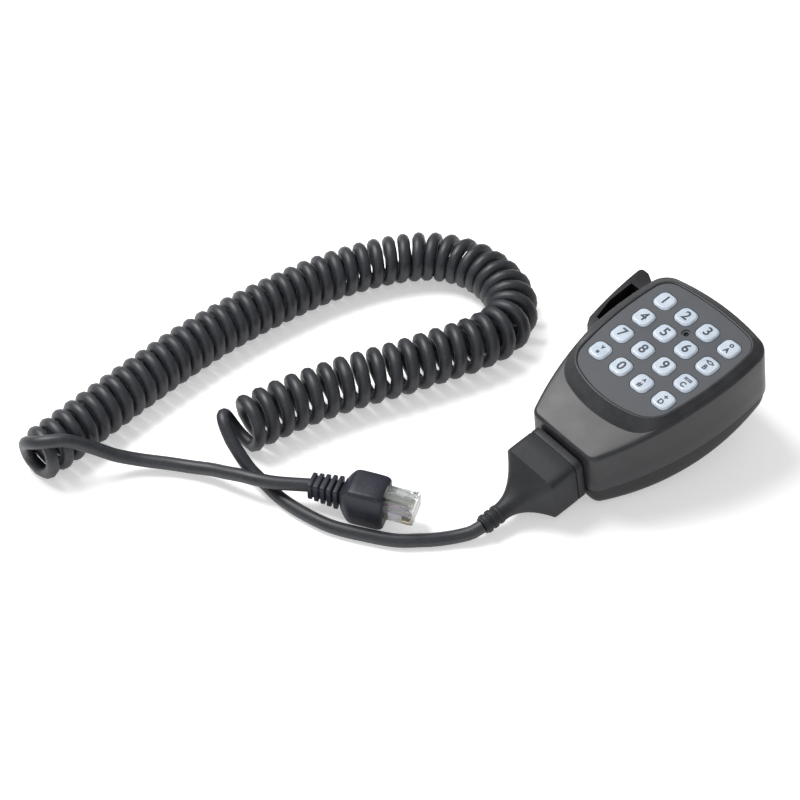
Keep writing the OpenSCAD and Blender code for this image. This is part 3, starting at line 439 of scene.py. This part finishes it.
def coilPoints():
    # wound left-handed: going along the coil the wire turns from the top to the left
    low, high = cord["coilOuter"]
    middle = []
    for i, (x, y) in enumerate(cord["coil"]):
        share = min(max((i - cord["growFrom"]) / cord["growOver"], 0), 1)
        middle.append(Vector((x, y, low + (high - low) * share + cord["lift"])))
    axis = through(middle, cord["axisStep"])
    wire = []
    lengths = [0.0]
    for i in range(1, len(axis)):
        lengths.append(lengths[-1] + (axis[i] - axis[i - 1]).length)
    total = lengths[-1]
    # the turn counts up along the coil; it is stretched a little so that it ends where the lead starts
    angles = [0.0]
    for i in range(1, len(axis)):
        share = min(max((lengths[i] / total - cord["loosenFrom"]) / cord["loosenOver"], 0), 1)
        pitch = cord["pitch"][0] + (cord["pitch"][1] - cord["pitch"][0]) * share
        angles.append(angles[-1] + 2 * math.pi * (lengths[i] - lengths[i - 1]) / pitch)
    endAngle = math.radians(cord["lastTurn"])
    wanted = round((angles[-1] - endAngle) / (2 * math.pi)) * 2 * math.pi + endAngle
    angles = [a * wanted / angles[-1] for a in angles]
    step, nextAngle = 2 * math.pi / cord["turnPoints"], 0.0
    for i in range(len(axis)):
        while angles[i] >= nextAngle - 1e-9:
            back = axis[max(i - 2, 0)]
            ahead = axis[min(i + 2, len(axis) - 1)]
            along = (ahead - back).normalized()
            up = Vector((0, 0, 1))
            side = along.cross(up).normalized()
            radius = axis[i].z - cord["lift"] - cord["radius"]
            wire.append(axis[i] + up * radius * math.cos(nextAngle) - side * radius * math.sin(nextAngle))
            nextAngle += step
    return wire


def relax(points, join, reach):
    # rounds off the wire for some points before and after a join
    for _ in range(cord["smooth"]):
        fresh = list(points)
        for i in range(join - reach[0], join + reach[1]):
            fresh[i] = points[i] * 0.5 + (points[i - 1] + points[i + 1]) * 0.25
        points[:] = fresh


def buildCord():
    lead = through([Vector(p) for p in cord["micLead"]], cord["spacing"])
    coil = list(reversed(coilPoints()))
    tail = through([Vector(p) for p in cord["plugLead"]], cord["spacing"])
    points = lead + coil + tail[1:]
    relax(points, len(lead), cord["smoothMic"])
    relax(points, len(lead) + len(coil), cord["smoothPlug"])
    curve = bpy.data.curves.new("curlyCord", "CURVE")
    curve.dimensions = "3D"
    curve.bevel_depth = cord["radius"] * mm
    curve.bevel_resolution = 3
    curve.use_fill_caps = True
    curve.twist_mode = "MINIMUM"
    spline = curve.splines.new("POLY")
    spline.points.add(len(points) - 1)
    for target, point in zip(spline.points, points):
        target.co = (*(point * mm), 1)
    spline.use_smooth = True
    obj = bpy.data.objects.new("curlyCord", curve)
    bpy.context.collection.objects.link(obj)
    length = sum((points[i + 1] - points[i]).length for i in range(len(points) - 1)) * mm
    print("cord length", round(length, 3), "points", len(points))
    return obj


curlyCord = buildCord()
curlyCord.data.materials.append(jacketRubber)
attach(curlyCord, "microphone")
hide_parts("cord_lead_mic", "cord_coil", "cord_lead_plug")
print("cord laid")


# outlines of the body, the same curves as the CAD
shape = {"halfW": 32.8, "wideY": 6, "sideR": 145, "top": 35.3, "topR": 110, "topCorner": 10,
         "end": 58, "endR": 1500, "endCorner": 5, "edgeDrop": 2, "endFall": 4.5, "fallStart": -12,
         "parting": 27.5, "lip": 0.8, "wall": 2.2, "deep": 42.45, "deepY": -22, "crownR": 211,
         "edgeRound": 1.8, "roof": -3.8}
face = {"halfW": 27.6, "top": 30.4, "low": 34, "sideR": 150, "topCorner": 8, "lowCorner": 12,
        "topR": 130, "lowR": 52, "gap": 0.15, "drop": 0.9, "thick": 1.5, "rim": 1.1, "ledge": 0.6,
        "slope": 6}
arcSteps = (6, 8, 22, 12, 6)  # on the foot, its corner, the side, the top corner and the top


def cornerMiddle(side, sr, ey, er, c, up):
    # middle of the corner arc c that lies inside the side's arc and the end's arc
    a, b = side, Vector((0, ey))
    ra, rb, d = sr - c, er - c, (b - a).length
    along = (ra * ra - rb * rb + d * d) / (2 * d)
    off = math.sqrt(ra * ra - along * along)
    u = (b - a) / d
    p = a + u * along
    one, two = p + Vector((-u.y, u.x)) * off, p - Vector((-u.y, u.x)) * off
    return one if up * one.y > up * two.y else two


def aim(a, b):
    return math.atan2(b.y - a.y, b.x - a.x)


def arcPoints(mid, r, start, end, steps):
    return [Vector((mid.x + r * math.cos(start + (end - start) * i / steps),
                    mid.y + r * math.sin(start + (end - start) * i / steps))) for i in range(steps + 1)]


def shieldOutline(w, wy, sr, top, tr, ct, low, lr, cl):
    # half width, height of the widest place, side radius, then end, end radius and corner for top and foot
    s, t, b = Vector((w - sr, wy)), Vector((0, top - tr)), Vector((0, low + lr))
    fl = cornerMiddle(s, sr, b.y, lr, cl, -1)
    ft = cornerMiddle(s, sr, t.y, tr, ct, 1)
    half = (arcPoints(b, lr, -math.pi / 2, aim(b, fl), arcSteps[0])
            + arcPoints(fl, cl, aim(b, fl), aim(s, fl), arcSteps[1])[1:]
            + arcPoints(s, sr, aim(s, fl), aim(s, ft), arcSteps[2])[1:]
            + arcPoints(ft, ct, aim(s, ft), aim(t, ft), arcSteps[3])[1:]
            + arcPoints(t, tr, aim(t, ft), math.pi / 2, arcSteps[4])[1:])
    mirror = [Vector((-p.x, p.y)) for p in reversed(half[1:-1])]
    return half + mirror


def caseOutline(inset):
    s = shape
    return shieldOutline(s["halfW"] - inset, s["wideY"], s["sideR"] - inset,
                         s["top"] - inset, s["topR"] - inset, max(s["topCorner"] - inset, 2),
                         -s["end"] + inset, s["endR"], max(s["endCorner"] - inset, 1.5))


def faceOutline(out):
    f = face
    return shieldOutline(f["halfW"] + out, shape["wideY"], f["sideR"] + out,
                         f["top"] + out, f["topR"] + out, f["topCorner"] + out,
                         -f["low"] - out, f["lowR"] + out, f["lowCorner"] + out)


def slopeFoot(side):
    s, f = shape, face
    low = -f["low"] - f["rim"] - f["gap"] - f["slope"]
    return shieldOutline(s["halfW"] - side, s["wideY"], s["sideR"],
                         s["top"] - side, s["topR"], s["topCorner"],
                         low, f["lowR"] + f["slope"], f["lowCorner"] + 4)


def edgeZ(y):
    # the upper edge of the wall falls away towards the cord's end
    beyond = max(shape["fallStart"] - y, 0)
    return -shape["edgeDrop"] - shape["endFall"] * beyond / (shape["end"] + shape["fallStart"])


def backZ(y):
    # the back is crowned: deepest at deepY
    return -shape["deep"] + (y - shape["deepY"]) ** 2 / (2 * shape["crownR"])


def flatRing(outline, z):
    return [(p.x, p.y, z) for p in outline]


def ease(t):
    t = min(max(t, 0), 1)
    return t * t * (3 - 2 * t)


# front case
lever = {"top": -6, "low": -23, "pinX": -30.4, "pinY": -9, "pinR": 1.0, "wall": 2.4, "out": 9.8,
         "inner": 5.6, "tipY": 28.2, "bow": 0.7, "faceX": -30.2, "gap": 0.5, "blockY": 19,
         "windowX": -27.4, "bossR": 2.4, "heelR": 2.5, "play": 0.05}
springPost = {"low": (-26.8, 0, -18), "high": (-25.4, 6, -3.8)}
cordWindow = {"half": 7.2, "out": 2, "deep": 3.6, "low": -31.7, "top": -18.3}


def cutCordWindow(case):
    w, end = cordWindow, -shape["end"]
    cutWith(case, boxSolid((-w["half"], end - w["out"], w["low"]), (w["half"], end + w["deep"], w["top"])))


def buildFrontCase():
    s, f = shape, face
    rings = [flatRing(caseOutline(-s["lip"] + 0.35), -s["parting"]),
             flatRing(caseOutline(-s["lip"] + 0.08), -s["parting"] + 0.12),
             flatRing(caseOutline(-s["lip"] + 0.01), -s["parting"] + 0.4)]
    for share in (0.33, 0.66):
        rings.append([(p.x, p.y, -s["parting"] + (edgeZ(p.y) - 2.0 + s["parting"]) * share)
                      for p in caseOutline(-s["lip"] * (1 - share))])
    # rounded upper edge of the wall
    radius = s["edgeRound"]
    for k in range(6):
        a = math.radians(90 * k / 5)
        rings.append([(p.x, p.y, edgeZ(p.y) - radius + radius * math.sin(a))
                      for p in caseOutline(radius * (1 - math.cos(a)))])
    foot = slopeFoot(1.35)
    rim = faceOutline(f["gap"] + f["rim"])
    for share in (0.0, 0.05, 0.12, 0.5, 0.86, 0.97):
        ring = []
        for p, q in zip(foot, rim):
            onSide = ease((p.y + 38) / 10)
            low = edgeZ(p.y) + 0.12 * onSide
            height = share if share > 0.12 else share * share / 0.12
            at = p.lerp(q, share)
            ring.append((at.x, at.y, low + (-0.55 - low) * height))
        rings.append(ring)
    rings += [flatRing(faceOutline(f["gap"] + f["rim"] - 0.12), -0.44),
              flatRing(faceOutline(f["gap"] + f["rim"] - 0.35), -0.4),
              flatRing(faceOutline(f["gap"] + 0.3), -0.4),
              flatRing(faceOutline(f["gap"] + 0.06), -0.5),
              flatRing(faceOutline(f["gap"]), -0.75),
              flatRing(faceOutline(f["gap"]), -f["drop"] - f["thick"]),
              flatRing(faceOutline(-f["ledge"]), -f["drop"] - f["thick"]),
              flatRing(faceOutline(-f["ledge"]), -s["edgeDrop"] - s["wall"])]
    rings.append([(p.x, p.y, min(edgeZ(p.y) - s["wall"], -4.2)) for p in slopeFoot(3.6)])
    rings.append([(p.x, p.y, edgeZ(p.y) - s["wall"]) for p in caseOutline(s["wall"])])
    rings.append(flatRing(caseOutline(s["wall"]), -s["parting"]))
    case = ringSolid("frontCase", rings, ends="join")
    l = lever
    windowLow, windowTop = l["low"] - l["gap"], l["top"] + l["gap"]
    cutWith(case, boxSolid((-s["halfW"] - 3, l["pinY"] - 6.2, windowLow),
                           (l["windowX"], l["tipY"] + 0.6, windowTop)))
    cutCordWindow(case)
    bossX = l["pinX"] + 0.4
    for low, high in ((-s["parting"], windowLow), (windowTop, s["roof"])):
        joinWith(case, rodSolid((bossX, l["pinY"], low), (bossX, l["pinY"], high), l["bossR"]))
    joinWith(case, boxSolid(springPost["low"], springPost["high"]))
    cutWith(case, rodSolid((l["pinX"], l["pinY"], -30), (l["pinX"], l["pinY"], -3.4), l["pinR"] + 0.01))
    placeMesh(case, seatMatrix)
    fixNormals(case)
    smoothByAngle(case, 32)
    return finishPiece(case, "frontCase", "microphone", casePlastic, ["front_case"])


buildFrontCase()
print("front case built")


# rear case
rear = {"round": 6, "pad": 6, "padY": -5, "padZ": -42.85, "padHigh": 4, "bossR": 3.6, "headR": 2.6,
        "headDeep": 3, "shaftR": 1.5, "screws": [(12, 25.7), (-12, 25.7), (15, -42), (-15, -42)]}


def rearRing(inset, up):
    return [(p.x, p.y, backZ(p.y) + up) for p in caseOutline(inset)]


def buildRearCase():
    s = shape
    r = rear
    outer = []
    for k in range(11):
        a = math.radians(9 * k)
        outer.append(rearRing(r["round"] * (1 - math.sin(a)), r["round"] * (1 - math.cos(a))))
    rimZ = -s["parting"] - 0.1
    wall = [flatRing(caseOutline(0.02), -s["parting"] - 0.5), flatRing(caseOutline(0.25), rimZ)]
    inner = [flatRing(caseOutline(s["wall"]), rimZ), rearRing(2.7, 5.4), rearRing(6, 2.2)]
    case = ringSolid("rearCase", outer + wall + inner, ends="strips")
    below = -60
    padY, padZ = r["padY"], r["padZ"]
    joinWith(case, rodSolid((0, padY, padZ), (0, padY, padZ + r["padHigh"]), r["pad"], 64))
    for x, y in r["screws"]:
        joinWith(case, rodSolid((x, y, backZ(y) + 0.9), (x, y, rimZ), r["bossR"]))
        cutWith(case, rodSolid((x, y, below), (x, y, backZ(y) + r["headDeep"]), r["headR"]))
        cutWith(case, rodSolid((x, y, below), (x, y, -20), r["shaftR"]))
    cutWith(case, rodSolid((0, padY, below), (0, padY, -30), r["shaftR"]))
    cutCordWindow(case)
    placeMesh(case, seatMatrix)
    fixNormals(case)
    smoothByAngle(case, 32)
    return finishPiece(case, "rearCase", "microphone", rearPlastic, ["rear_case"])


buildRearCase()
print("rear case built")


# keys and their legends
keyRow = ["key_1", "key_2", "key_3", "key_a", "key_4", "key_5", "key_6", "key_b",
          "key_7", "key_8", "key_9", "key_c", "key_star", "key_0", "key_hash", "key_d"]
keyLegend = ["1", "2", "3", "A", "4", "5", "6", "B", "7", "8", "9", "C", "*", "0", "#", "D"]
legend = {"digit": 6.4, "letter": 3.4, "sign": 3.6, "stroke": 0.13, "flatten": 0.12,
          "raise": 0.01, "middle": 0.3, "up": 1.5, "down": -1.5,
          "signs": {"A": "o", "B": "<>", "C": "==", "D": "+", "*": "v", "#": "^"}}
key = {"pitch": 12.5, "shift": 0.8, "half": 4.4, "corner": 3, "flange": 0.5, "flangeLow": -3.35,
       "flangeTop": -2.55, "skirt": -1.0}


def roundSquare(half, corner, z, steps=6):
    ring = []
    for quarter in range(4):
        for i in range(steps + 1):
            a = math.radians(90 * quarter + 90 * i / steps)
            cx = half - corner if quarter in (0, 3) else corner - half
            cy = half - corner if quarter < 2 else corner - half
            ring.append((cx + corner * math.cos(a), cy + corner * math.sin(a), z))
    return ring


def buildKey():
    k, wide, corner = key, key["half"] + key["flange"], key["corner"]
    rings = [roundSquare(wide - 0.1, corner - 0.1, k["flangeLow"]),
             roundSquare(wide, corner, k["flangeLow"] + 0.1),
             roundSquare(wide, corner, k["flangeTop"] - 0.05),
             roundSquare(wide - 0.05, corner, k["flangeTop"]),
             roundSquare(k["half"], corner, k["flangeTop"])]
    # how far the side has come in at each height: straight skirt, slanted edge, flat top
    edge = ((0.0, k["skirt"]), (0.0, -0.82), (0.04, -0.74), (0.12, -0.66), (0.62, -0.16),
            (0.74, -0.08), (0.9, -0.045), (1.5, -0.02), (2.6, 0))
    for inset, z in edge:
        rings.append(roundSquare(k["half"] - inset, max(corner - inset * 0.7, 0.5), z))
    return ringSolid("keyCap", rings)


def paintGapShade(cap):
    # painted shade: what lies below the panel gets the black moulding, so that the gap round the key reads
    # as dark shade
    for face in cap.data.polygons:
        face.material_index = 1 if face.center.z < (key["skirt"] - 0.02) * mm else 0


def legendRows(sign):
    if sign.isdigit():
        return [(sign, legend["digit"], legend["middle"])]
    return [(legend["signs"][sign], legend["sign"], legend["up"]), (sign, legend["letter"], legend["down"])]


def keyPlace(i):
    x = key["shift"] + (i % 4 - 1.5) * key["pitch"]
    y = (1.5 - i // 4) * key["pitch"]
    return Matrix.Translation(Vector((x, y, 0)) * mm)


def buildLegend(rows):
    # each row is (text, size, height of its middle on the key); letters are drawn with a round stroke
    pieces = []
    for text, size, middle in rows:
        deselectAll()
        bpy.ops.object.text_add()
        obj = bpy.context.object
        obj.data.body = text
        obj.data.size = size * mm
        obj.data.align_x = "CENTER"
        obj.data.bevel_depth = legend["stroke"] * mm
        obj.data.bevel_resolution = 1
        pickOnly(obj)
        bpy.ops.object.convert(target="MESH")
        xs = [v.co.x for v in obj.data.vertices]
        ys = [v.co.y for v in obj.data.vertices]
        centre = Vector(((min(xs) + max(xs)) / 2, (min(ys) + max(ys)) / 2 - middle * mm, 0))
        placeMesh(obj, Matrix.Diagonal((1, 1, legend["flatten"], 1)) @ Matrix.Translation(-centre))
        placeMesh(obj, Matrix.Translation((0, 0, legend["raise"] * mm)))
        pieces.append(obj)
    deselectAll()
    for obj in pieces:
        obj.select_set(True)
    bpy.context.view_layer.objects.active = pieces[0]
    if len(pieces) > 1:
        bpy.ops.object.join()
    return pieces[0]


def buildKeys():
    first = buildKey()
    paintGapShade(first)
    for i, (node, sign) in enumerate(zip(keyRow, keyLegend)):
        cap = first.copy()
        cap.data = first.data.copy()
        bpy.context.collection.objects.link(cap)
        placeMesh(cap, seatMatrix @ keyPlace(i))
        smoothByAngle(cap, 28)
        finishPiece(cap, "cap_" + node, node + "_body", keyPlastic, [node])
        # painted shade: second slot, black moulding for the key below the panel, darkening the gap round
        # the key
        cap.data.materials.append(blackMoulding)
        mark = buildLegend(legendRows(sign))
        placeMesh(mark, seatMatrix @ keyPlace(i))
        finishPiece(mark, "legend_" + node, node + "_body", keyInk)
    bpy.data.objects.remove(first)


buildKeys()
print("keys built")


# push-to-talk lever
def leverOutline():
    l, hw = lever, shape["halfW"]
    tip, heel, pinY = -hw - l["out"], -hw - l["inner"], l["pinY"]
    points = [(-hw + 0.9, pinY - 4.6), ((heel - hw) / 2 - 0.6, pinY - 0.8)]
    for i in range(17):
        t = i / 16
        y = pinY + 2.6 + t * (l["tipY"] - 1.8 - pinY - 2.6)
        points.append((heel + t * (tip - heel) - l["bow"] * 4 * t * (1 - t), y))
    points += [(tip + 0.5, l["tipY"] - 0.6), (tip + 1.6, l["tipY"]), (tip + 4.6, l["tipY"]),
               (-hw + 1.3, l["tipY"] - 3.6), (l["faceX"], l["tipY"] - 4), (l["faceX"], pinY - 4.6)]
    return points


def buildLever():
    l, hw = lever, shape["halfW"]
    pinX, pinY, low, top = l["pinX"], l["pinY"], l["low"], l["top"]
    outline = leverOutline()
    body = ringSolid("pttLever", [[(x, y, z) for x, y in outline] for z in (low, top)])
    bevelEdges(body, 0.8, 4, 25)
    joinWith(body, rodSolid((pinX, pinY, low + 0.02), (pinX, pinY, top - 0.02), l["heelR"], 40))
    tip, heel = -hw - l["out"], -hw - l["inner"]
    # the lever is hollow towards the case, up to the solid block at its tip
    pocket = [(heel + l["wall"], pinY + 4.5), ((heel + tip) / 2 + l["wall"] - l["bow"], 6),
              (heel + 0.75 * (tip - heel) + l["wall"], l["blockY"]),
              (-hw + 0.8, l["blockY"]), (-hw + 0.8, pinY + 4.5)]
    cutWith(body, ringSolid("pocket", [[(x, y, z + 3) for x, y in pocket] for z in (low, top)]))
    cutWith(body, rodSolid((pinX, pinY, -30), (pinX, pinY, 0), l["pinR"] + l["play"], 40))
    placeMesh(body, seatMatrix)
    fixNormals(body)
    smoothByAngle(body, 35)
    return finishPiece(body, "pttLever", "ptt", leverPlastic, ["ptt_lever"])


buildLever()
print("lever built")


# rubber boot at the cord end
boot = {"width": 28.2, "height": 24.2, "top": 10.3, "start": -59, "blockEnd": -75.6, "taper": 18,
        "sleeve": 9.4, "sleeveD": 8.4, "ribs": 3, "neckR": 3.6, "axisZ": -25, "groove": 0.55,
        "plugLow": (-7, -59.5, -31.5), "plugHigh": (7, -55, -18.5)}


def softSection(a, b, e, y, z, count=96):
    # an oval that squares up as e grows: 2 is round, 9 nearly a rectangle
    ring = []
    for i in range(count):
        t = 2 * math.pi * i / count
        c, s = math.cos(t), math.sin(t)
        across = a * math.copysign(abs(c) ** (2 / e), c)
        ring.append((across, y, z + b * math.copysign(abs(s) ** (2 / e), s)))
    return ring


def buildBoot():
    b = boot
    a0, b0 = b["width"] / 2, b["height"] / 2
    mid = -b["top"] - b0
    rings = [softSection(a0 - 0.9, b0 - 0.9, 7, b["start"] + 0.02, mid)]
    for inset, y in ((0.45, -0.02), (0.12, -0.25), (0, -0.8)):
        rings.append(softSection(a0 - inset, b0 - inset, 9, b["start"] + y, mid))
    # the groove round the block
    for y, inset in ((-3.3, 0), (-3.55, 0.08), (-3.65, 0.35), (-3.7, b["groove"]), (-4.1, b["groove"]),
                     (-4.15, 0.35), (-4.25, 0.08), (-4.5, 0.0), (-10, 0.0)):
        rings.append(softSection(a0 - inset, b0 - inset, 9, b["start"] + y, mid))
    rings.append(softSection(a0 - 0.02, b0 - 0.02, 9, b["blockEnd"] + 1.2, mid))
    end = b["sleeveD"] / 2 - 0.3
    for i in range(25):
        t = i / 24
        k = (1 - t) ** 2.2
        rings.append(softSection(end + (a0 - end) * k, end + (b0 - end) * k, 2 + 6 * k,
                                 b["blockEnd"] - b["taper"] * t, b["axisZ"] + (mid - b["axisZ"]) * k))
    y0 = b["blockEnd"] - b["taper"]
    for i in range(b["ribs"]):
        start = y0 - i * b["sleeve"] / b["ribs"]
        for step, radius in ((0.3, 3.7), (0.45, 4.1), (0.7, 4.2), (1.9, 4.2), (2.15, 4.1), (2.3, 3.7),
                             (2.4, b["neckR"])):
            rings.append(softSection(radius, radius, 2, start - step, b["axisZ"]))
    rings.append(softSection(b["neckR"], b["neckR"], 2, y0 - b["sleeve"], b["axisZ"]))
    body = ringSolid("cordBoot", rings)
    joinWith(body, boxSolid(b["plugLow"], b["plugHigh"]))
    placeMesh(body, seatMatrix)
    fixNormals(body)
    smoothByAngle(body, 35)
    return finishPiece(body, "cordBoot", "microphone", bootRubber, ["cord_boot"])


buildBoot()
print("boot built")


# hang-up button
# radius and height above the foot, from the foot's middle round the head to the neck
knob = {"foot": -47.80, "neckR": 3.5, "sides": 64,
        "profile": [(0.01, 0), (4.9, 0), (5.5, 0.12), (5.9, 0.5), (6.0, 0.9), (6.0, 1.7), (5.85, 2.15),
                    (5.4, 2.4), (3.9, 2.42), (3.6, 2.55), (3.5, 2.8)]}


def buildKnob():
    turn = 2 * math.pi / knob["sides"]
    neckTop = (knob["neckR"], rear["padZ"] - knob["foot"])
    rings = []
    for r, up in knob["profile"] + [neckTop]:
        rings.append([(r * math.cos(turn * i), rear["padY"] + r * math.sin(turn * i), knob["foot"] + up)
                      for i in range(knob["sides"])])
    body = ringSolid("hangKnob", rings)
    placeMesh(body, seatMatrix)
    fixNormals(body)
    smoothByAngle(body, 35)
    return finishPiece(body, "hangKnob", "microphone", knobPlastic, ["hang_knob"])


buildKnob()
print("button built")


# plug cover
cover = {"width": 15.5, "height": 19.7, "tail": 14.5, "block": 18.5, "held": 9, "ribs": 5, "tailD": 8.6,
         "ribGrow": 0.5, "seamHalf": 0.12}


def buildCover():
    c = cover
    rings = []
    step = c["tail"] / c["ribs"]
    for i in range(c["ribs"]):
        half = (c["tailD"] + i * c["ribGrow"]) / 2
        x = i * step
        for dx, dh in ((0, 0.35), (0.15, 0.08), (0.4, 0), (1.6, 0), (1.85, 0.08), (1.95, 0.4)):
            ring = roundSquare(half - dh, 1.1, 0)
            rings.append([(x + dx, p[0], p[1]) for p in ring])
        for dx in (2.0, step - 0.05):
            ring = roundSquare(3.6, 1.0, 0)
            rings.append([(x + dx, p[0], p[1]) for p in ring])
    start = c["tail"] + 0.2
    halfW, halfH, long = c["width"] / 2, c["height"] / 2, c["block"] + 0.4
    # distance along the block, how far its sides and its top and bottom pull in, corner radius
    stations = [(0, 2.7, 4.9, 1.5), (0.25, 2.5, 4.6, 1.6), (1.3, 1.6, 3.0, 1.8), (2.6, 0.8, 1.5, 2.0),
                (3.7, 0.3, 0.55, 2.1), (4.8, 0.06, 0.12, 2.2), (6.5, 0, 0, 2.2), (long - 6, 0, 0, 2.2),
                (long - 2.6, 0.05, 0.1, 2.2), (long - 1.2, 0.3, 0.35, 2.1), (long - 0.45, 0.75, 0.8, 1.8),
                (long - 0.1, 1.2, 1.3, 1.5), (long, 1.6, 1.7, 1.3)]
    for x, inY, inZ, corner in stations:
        base = roundSquare(halfW - inY, corner, 0)
        grow = halfH - inZ - (halfW - inY)
        rings.append([(start + x, p[0], p[1] + math.copysign(grow, p[1])) for p in base])
    body = ringSolid("plugCover", rings)
    fromX = c["tail"] + 0.6 + c["block"] - c["held"]
    for side in (-1, 1):
        # fine seam left by the mould along each side
        low, high = sorted((side * (halfW - 0.5), side * (halfW + 0.07)))
        seam = boxSolid((start + 5, low, -c["seamHalf"]), (start + long - 2.8, high, c["seamHalf"]))
        joinWith(body, seam)
    # the hole that the plug sits in, and a slot above it for the latch
    cutWith(body, boxSolid((fromX, -5.95, -2.7), (fromX + 12, 5.95, 5.5)))
    cutWith(body, boxSolid((fromX, -3.7, -2.6), (fromX + 12, 3.7, halfH - 0.9)))
    placeMesh(body, plugMatrix)
    fixNormals(body)
    smoothByAngle(body, 38)
    return finishPiece(body, "plugCover", "microphone", coverRubber, ["plug_cover"])


buildCover()
print("plug cover built")


# finishes of the CAD pieces that stay as they are
finishes = {
    "key_panel": panelPlastic, "keypad_mat": silicone, "contact_domes": domeSteel,
    "main_pcb": boardMask, "pcb_chips": blackMoulding, "backlight_leds": lampLens,
    "mic_capsule": canAluminium, "capsule_boot": blackMoulding, "dust_cloth": dustFelt,
    "ptt_pin": pinSteel, "ptt_spring": springSteel, "ptt_switch": blackMoulding, "ptt_plunger": ivory,
    "hang_knob_screw": zincSteel, "case_screws": zincSteel, "cord_clamp": greyMoulding,
    "clamp_screws": zincSteel, "cord_header": nylon, "cord_wires": headWires,
    "plug_body": plugPlastic, "plug_contacts": goldPlate, "plug_latch": plugPlastic,
    "plug_wires": plugWires,
}
for name, material in finishes.items():
    data = nodes[name].data
    if not data.materials:
        data.materials.append(material)
    for i in range(len(data.materials)):
        data.materials[i] = material
print("finishes set")

# floor and light
light = {"world": 0.4, "key": 11, "fill": 1.5, "floor": (0.88, 0.88, 0.88), "floorGlow": 0.4,
         "target": (-0.03, -0.05, 0), "keyAt": (-0.56, -0.19, 0.84), "fillAt": (0.6, -0.8, 0.6)}


def buildStage():
    deselectAll()
    bpy.ops.mesh.primitive_plane_add(size=6, location=(0, 0, 0))
    floor = bpy.context.object
    floor.name = "paleFloor"
    material, tree, shader = newMaterial("paleFloor")
    point = objectPoint(tree, 1)
    pale = light["floor"]
    paler = tuple(v * 1.01 for v in pale)
    cloudy = noise(tree, point, 3, 2, 0.5)
    tree.links.new(ramp(tree, cloudy, [(0.3, pale), (0.7, paler)]), shader.inputs["Base Color"])
    shader.inputs["Roughness"].default_value = 0.7
    # a light table: it glows a little, so that shadows stay pale
    shader.inputs["Emission Color"].default_value = (1, 1, 1, 1)
    shader.inputs["Emission Strength"].default_value = light["floorGlow"]
    floor.data.materials.append(material)
    world = bpy.context.scene.world or bpy.data.worlds.new("studio")
    bpy.context.scene.world = world
    world.use_nodes = True
    back = world.node_tree.nodes.get("Background") or world.node_tree.nodes.new("ShaderNodeBackground")
    back.inputs["Color"].default_value = (1, 1, 1, 1)
    back.inputs["Strength"].default_value = light["world"]


def addArea(name, place, size, power):
    deselectAll()
    bpy.ops.object.light_add(type="AREA", location=place)
    lamp = bpy.context.object
    lamp.name = name
    lamp.data.shape = "RECTANGLE"
    lamp.data.size = lamp.data.size_y = size
    lamp.data.energy = power
    lamp.rotation_euler = (Vector(light["target"]) - Vector(place)).to_track_quat("-Z", "Y").to_euler()


buildStage()
addArea("softKey", light["keyAt"], 0.5, light["key"])
addArea("softFill", light["fillAt"], 0.6, light["fill"])
bpy.context.scene.view_settings.view_transform = "Standard"
print("stage set")
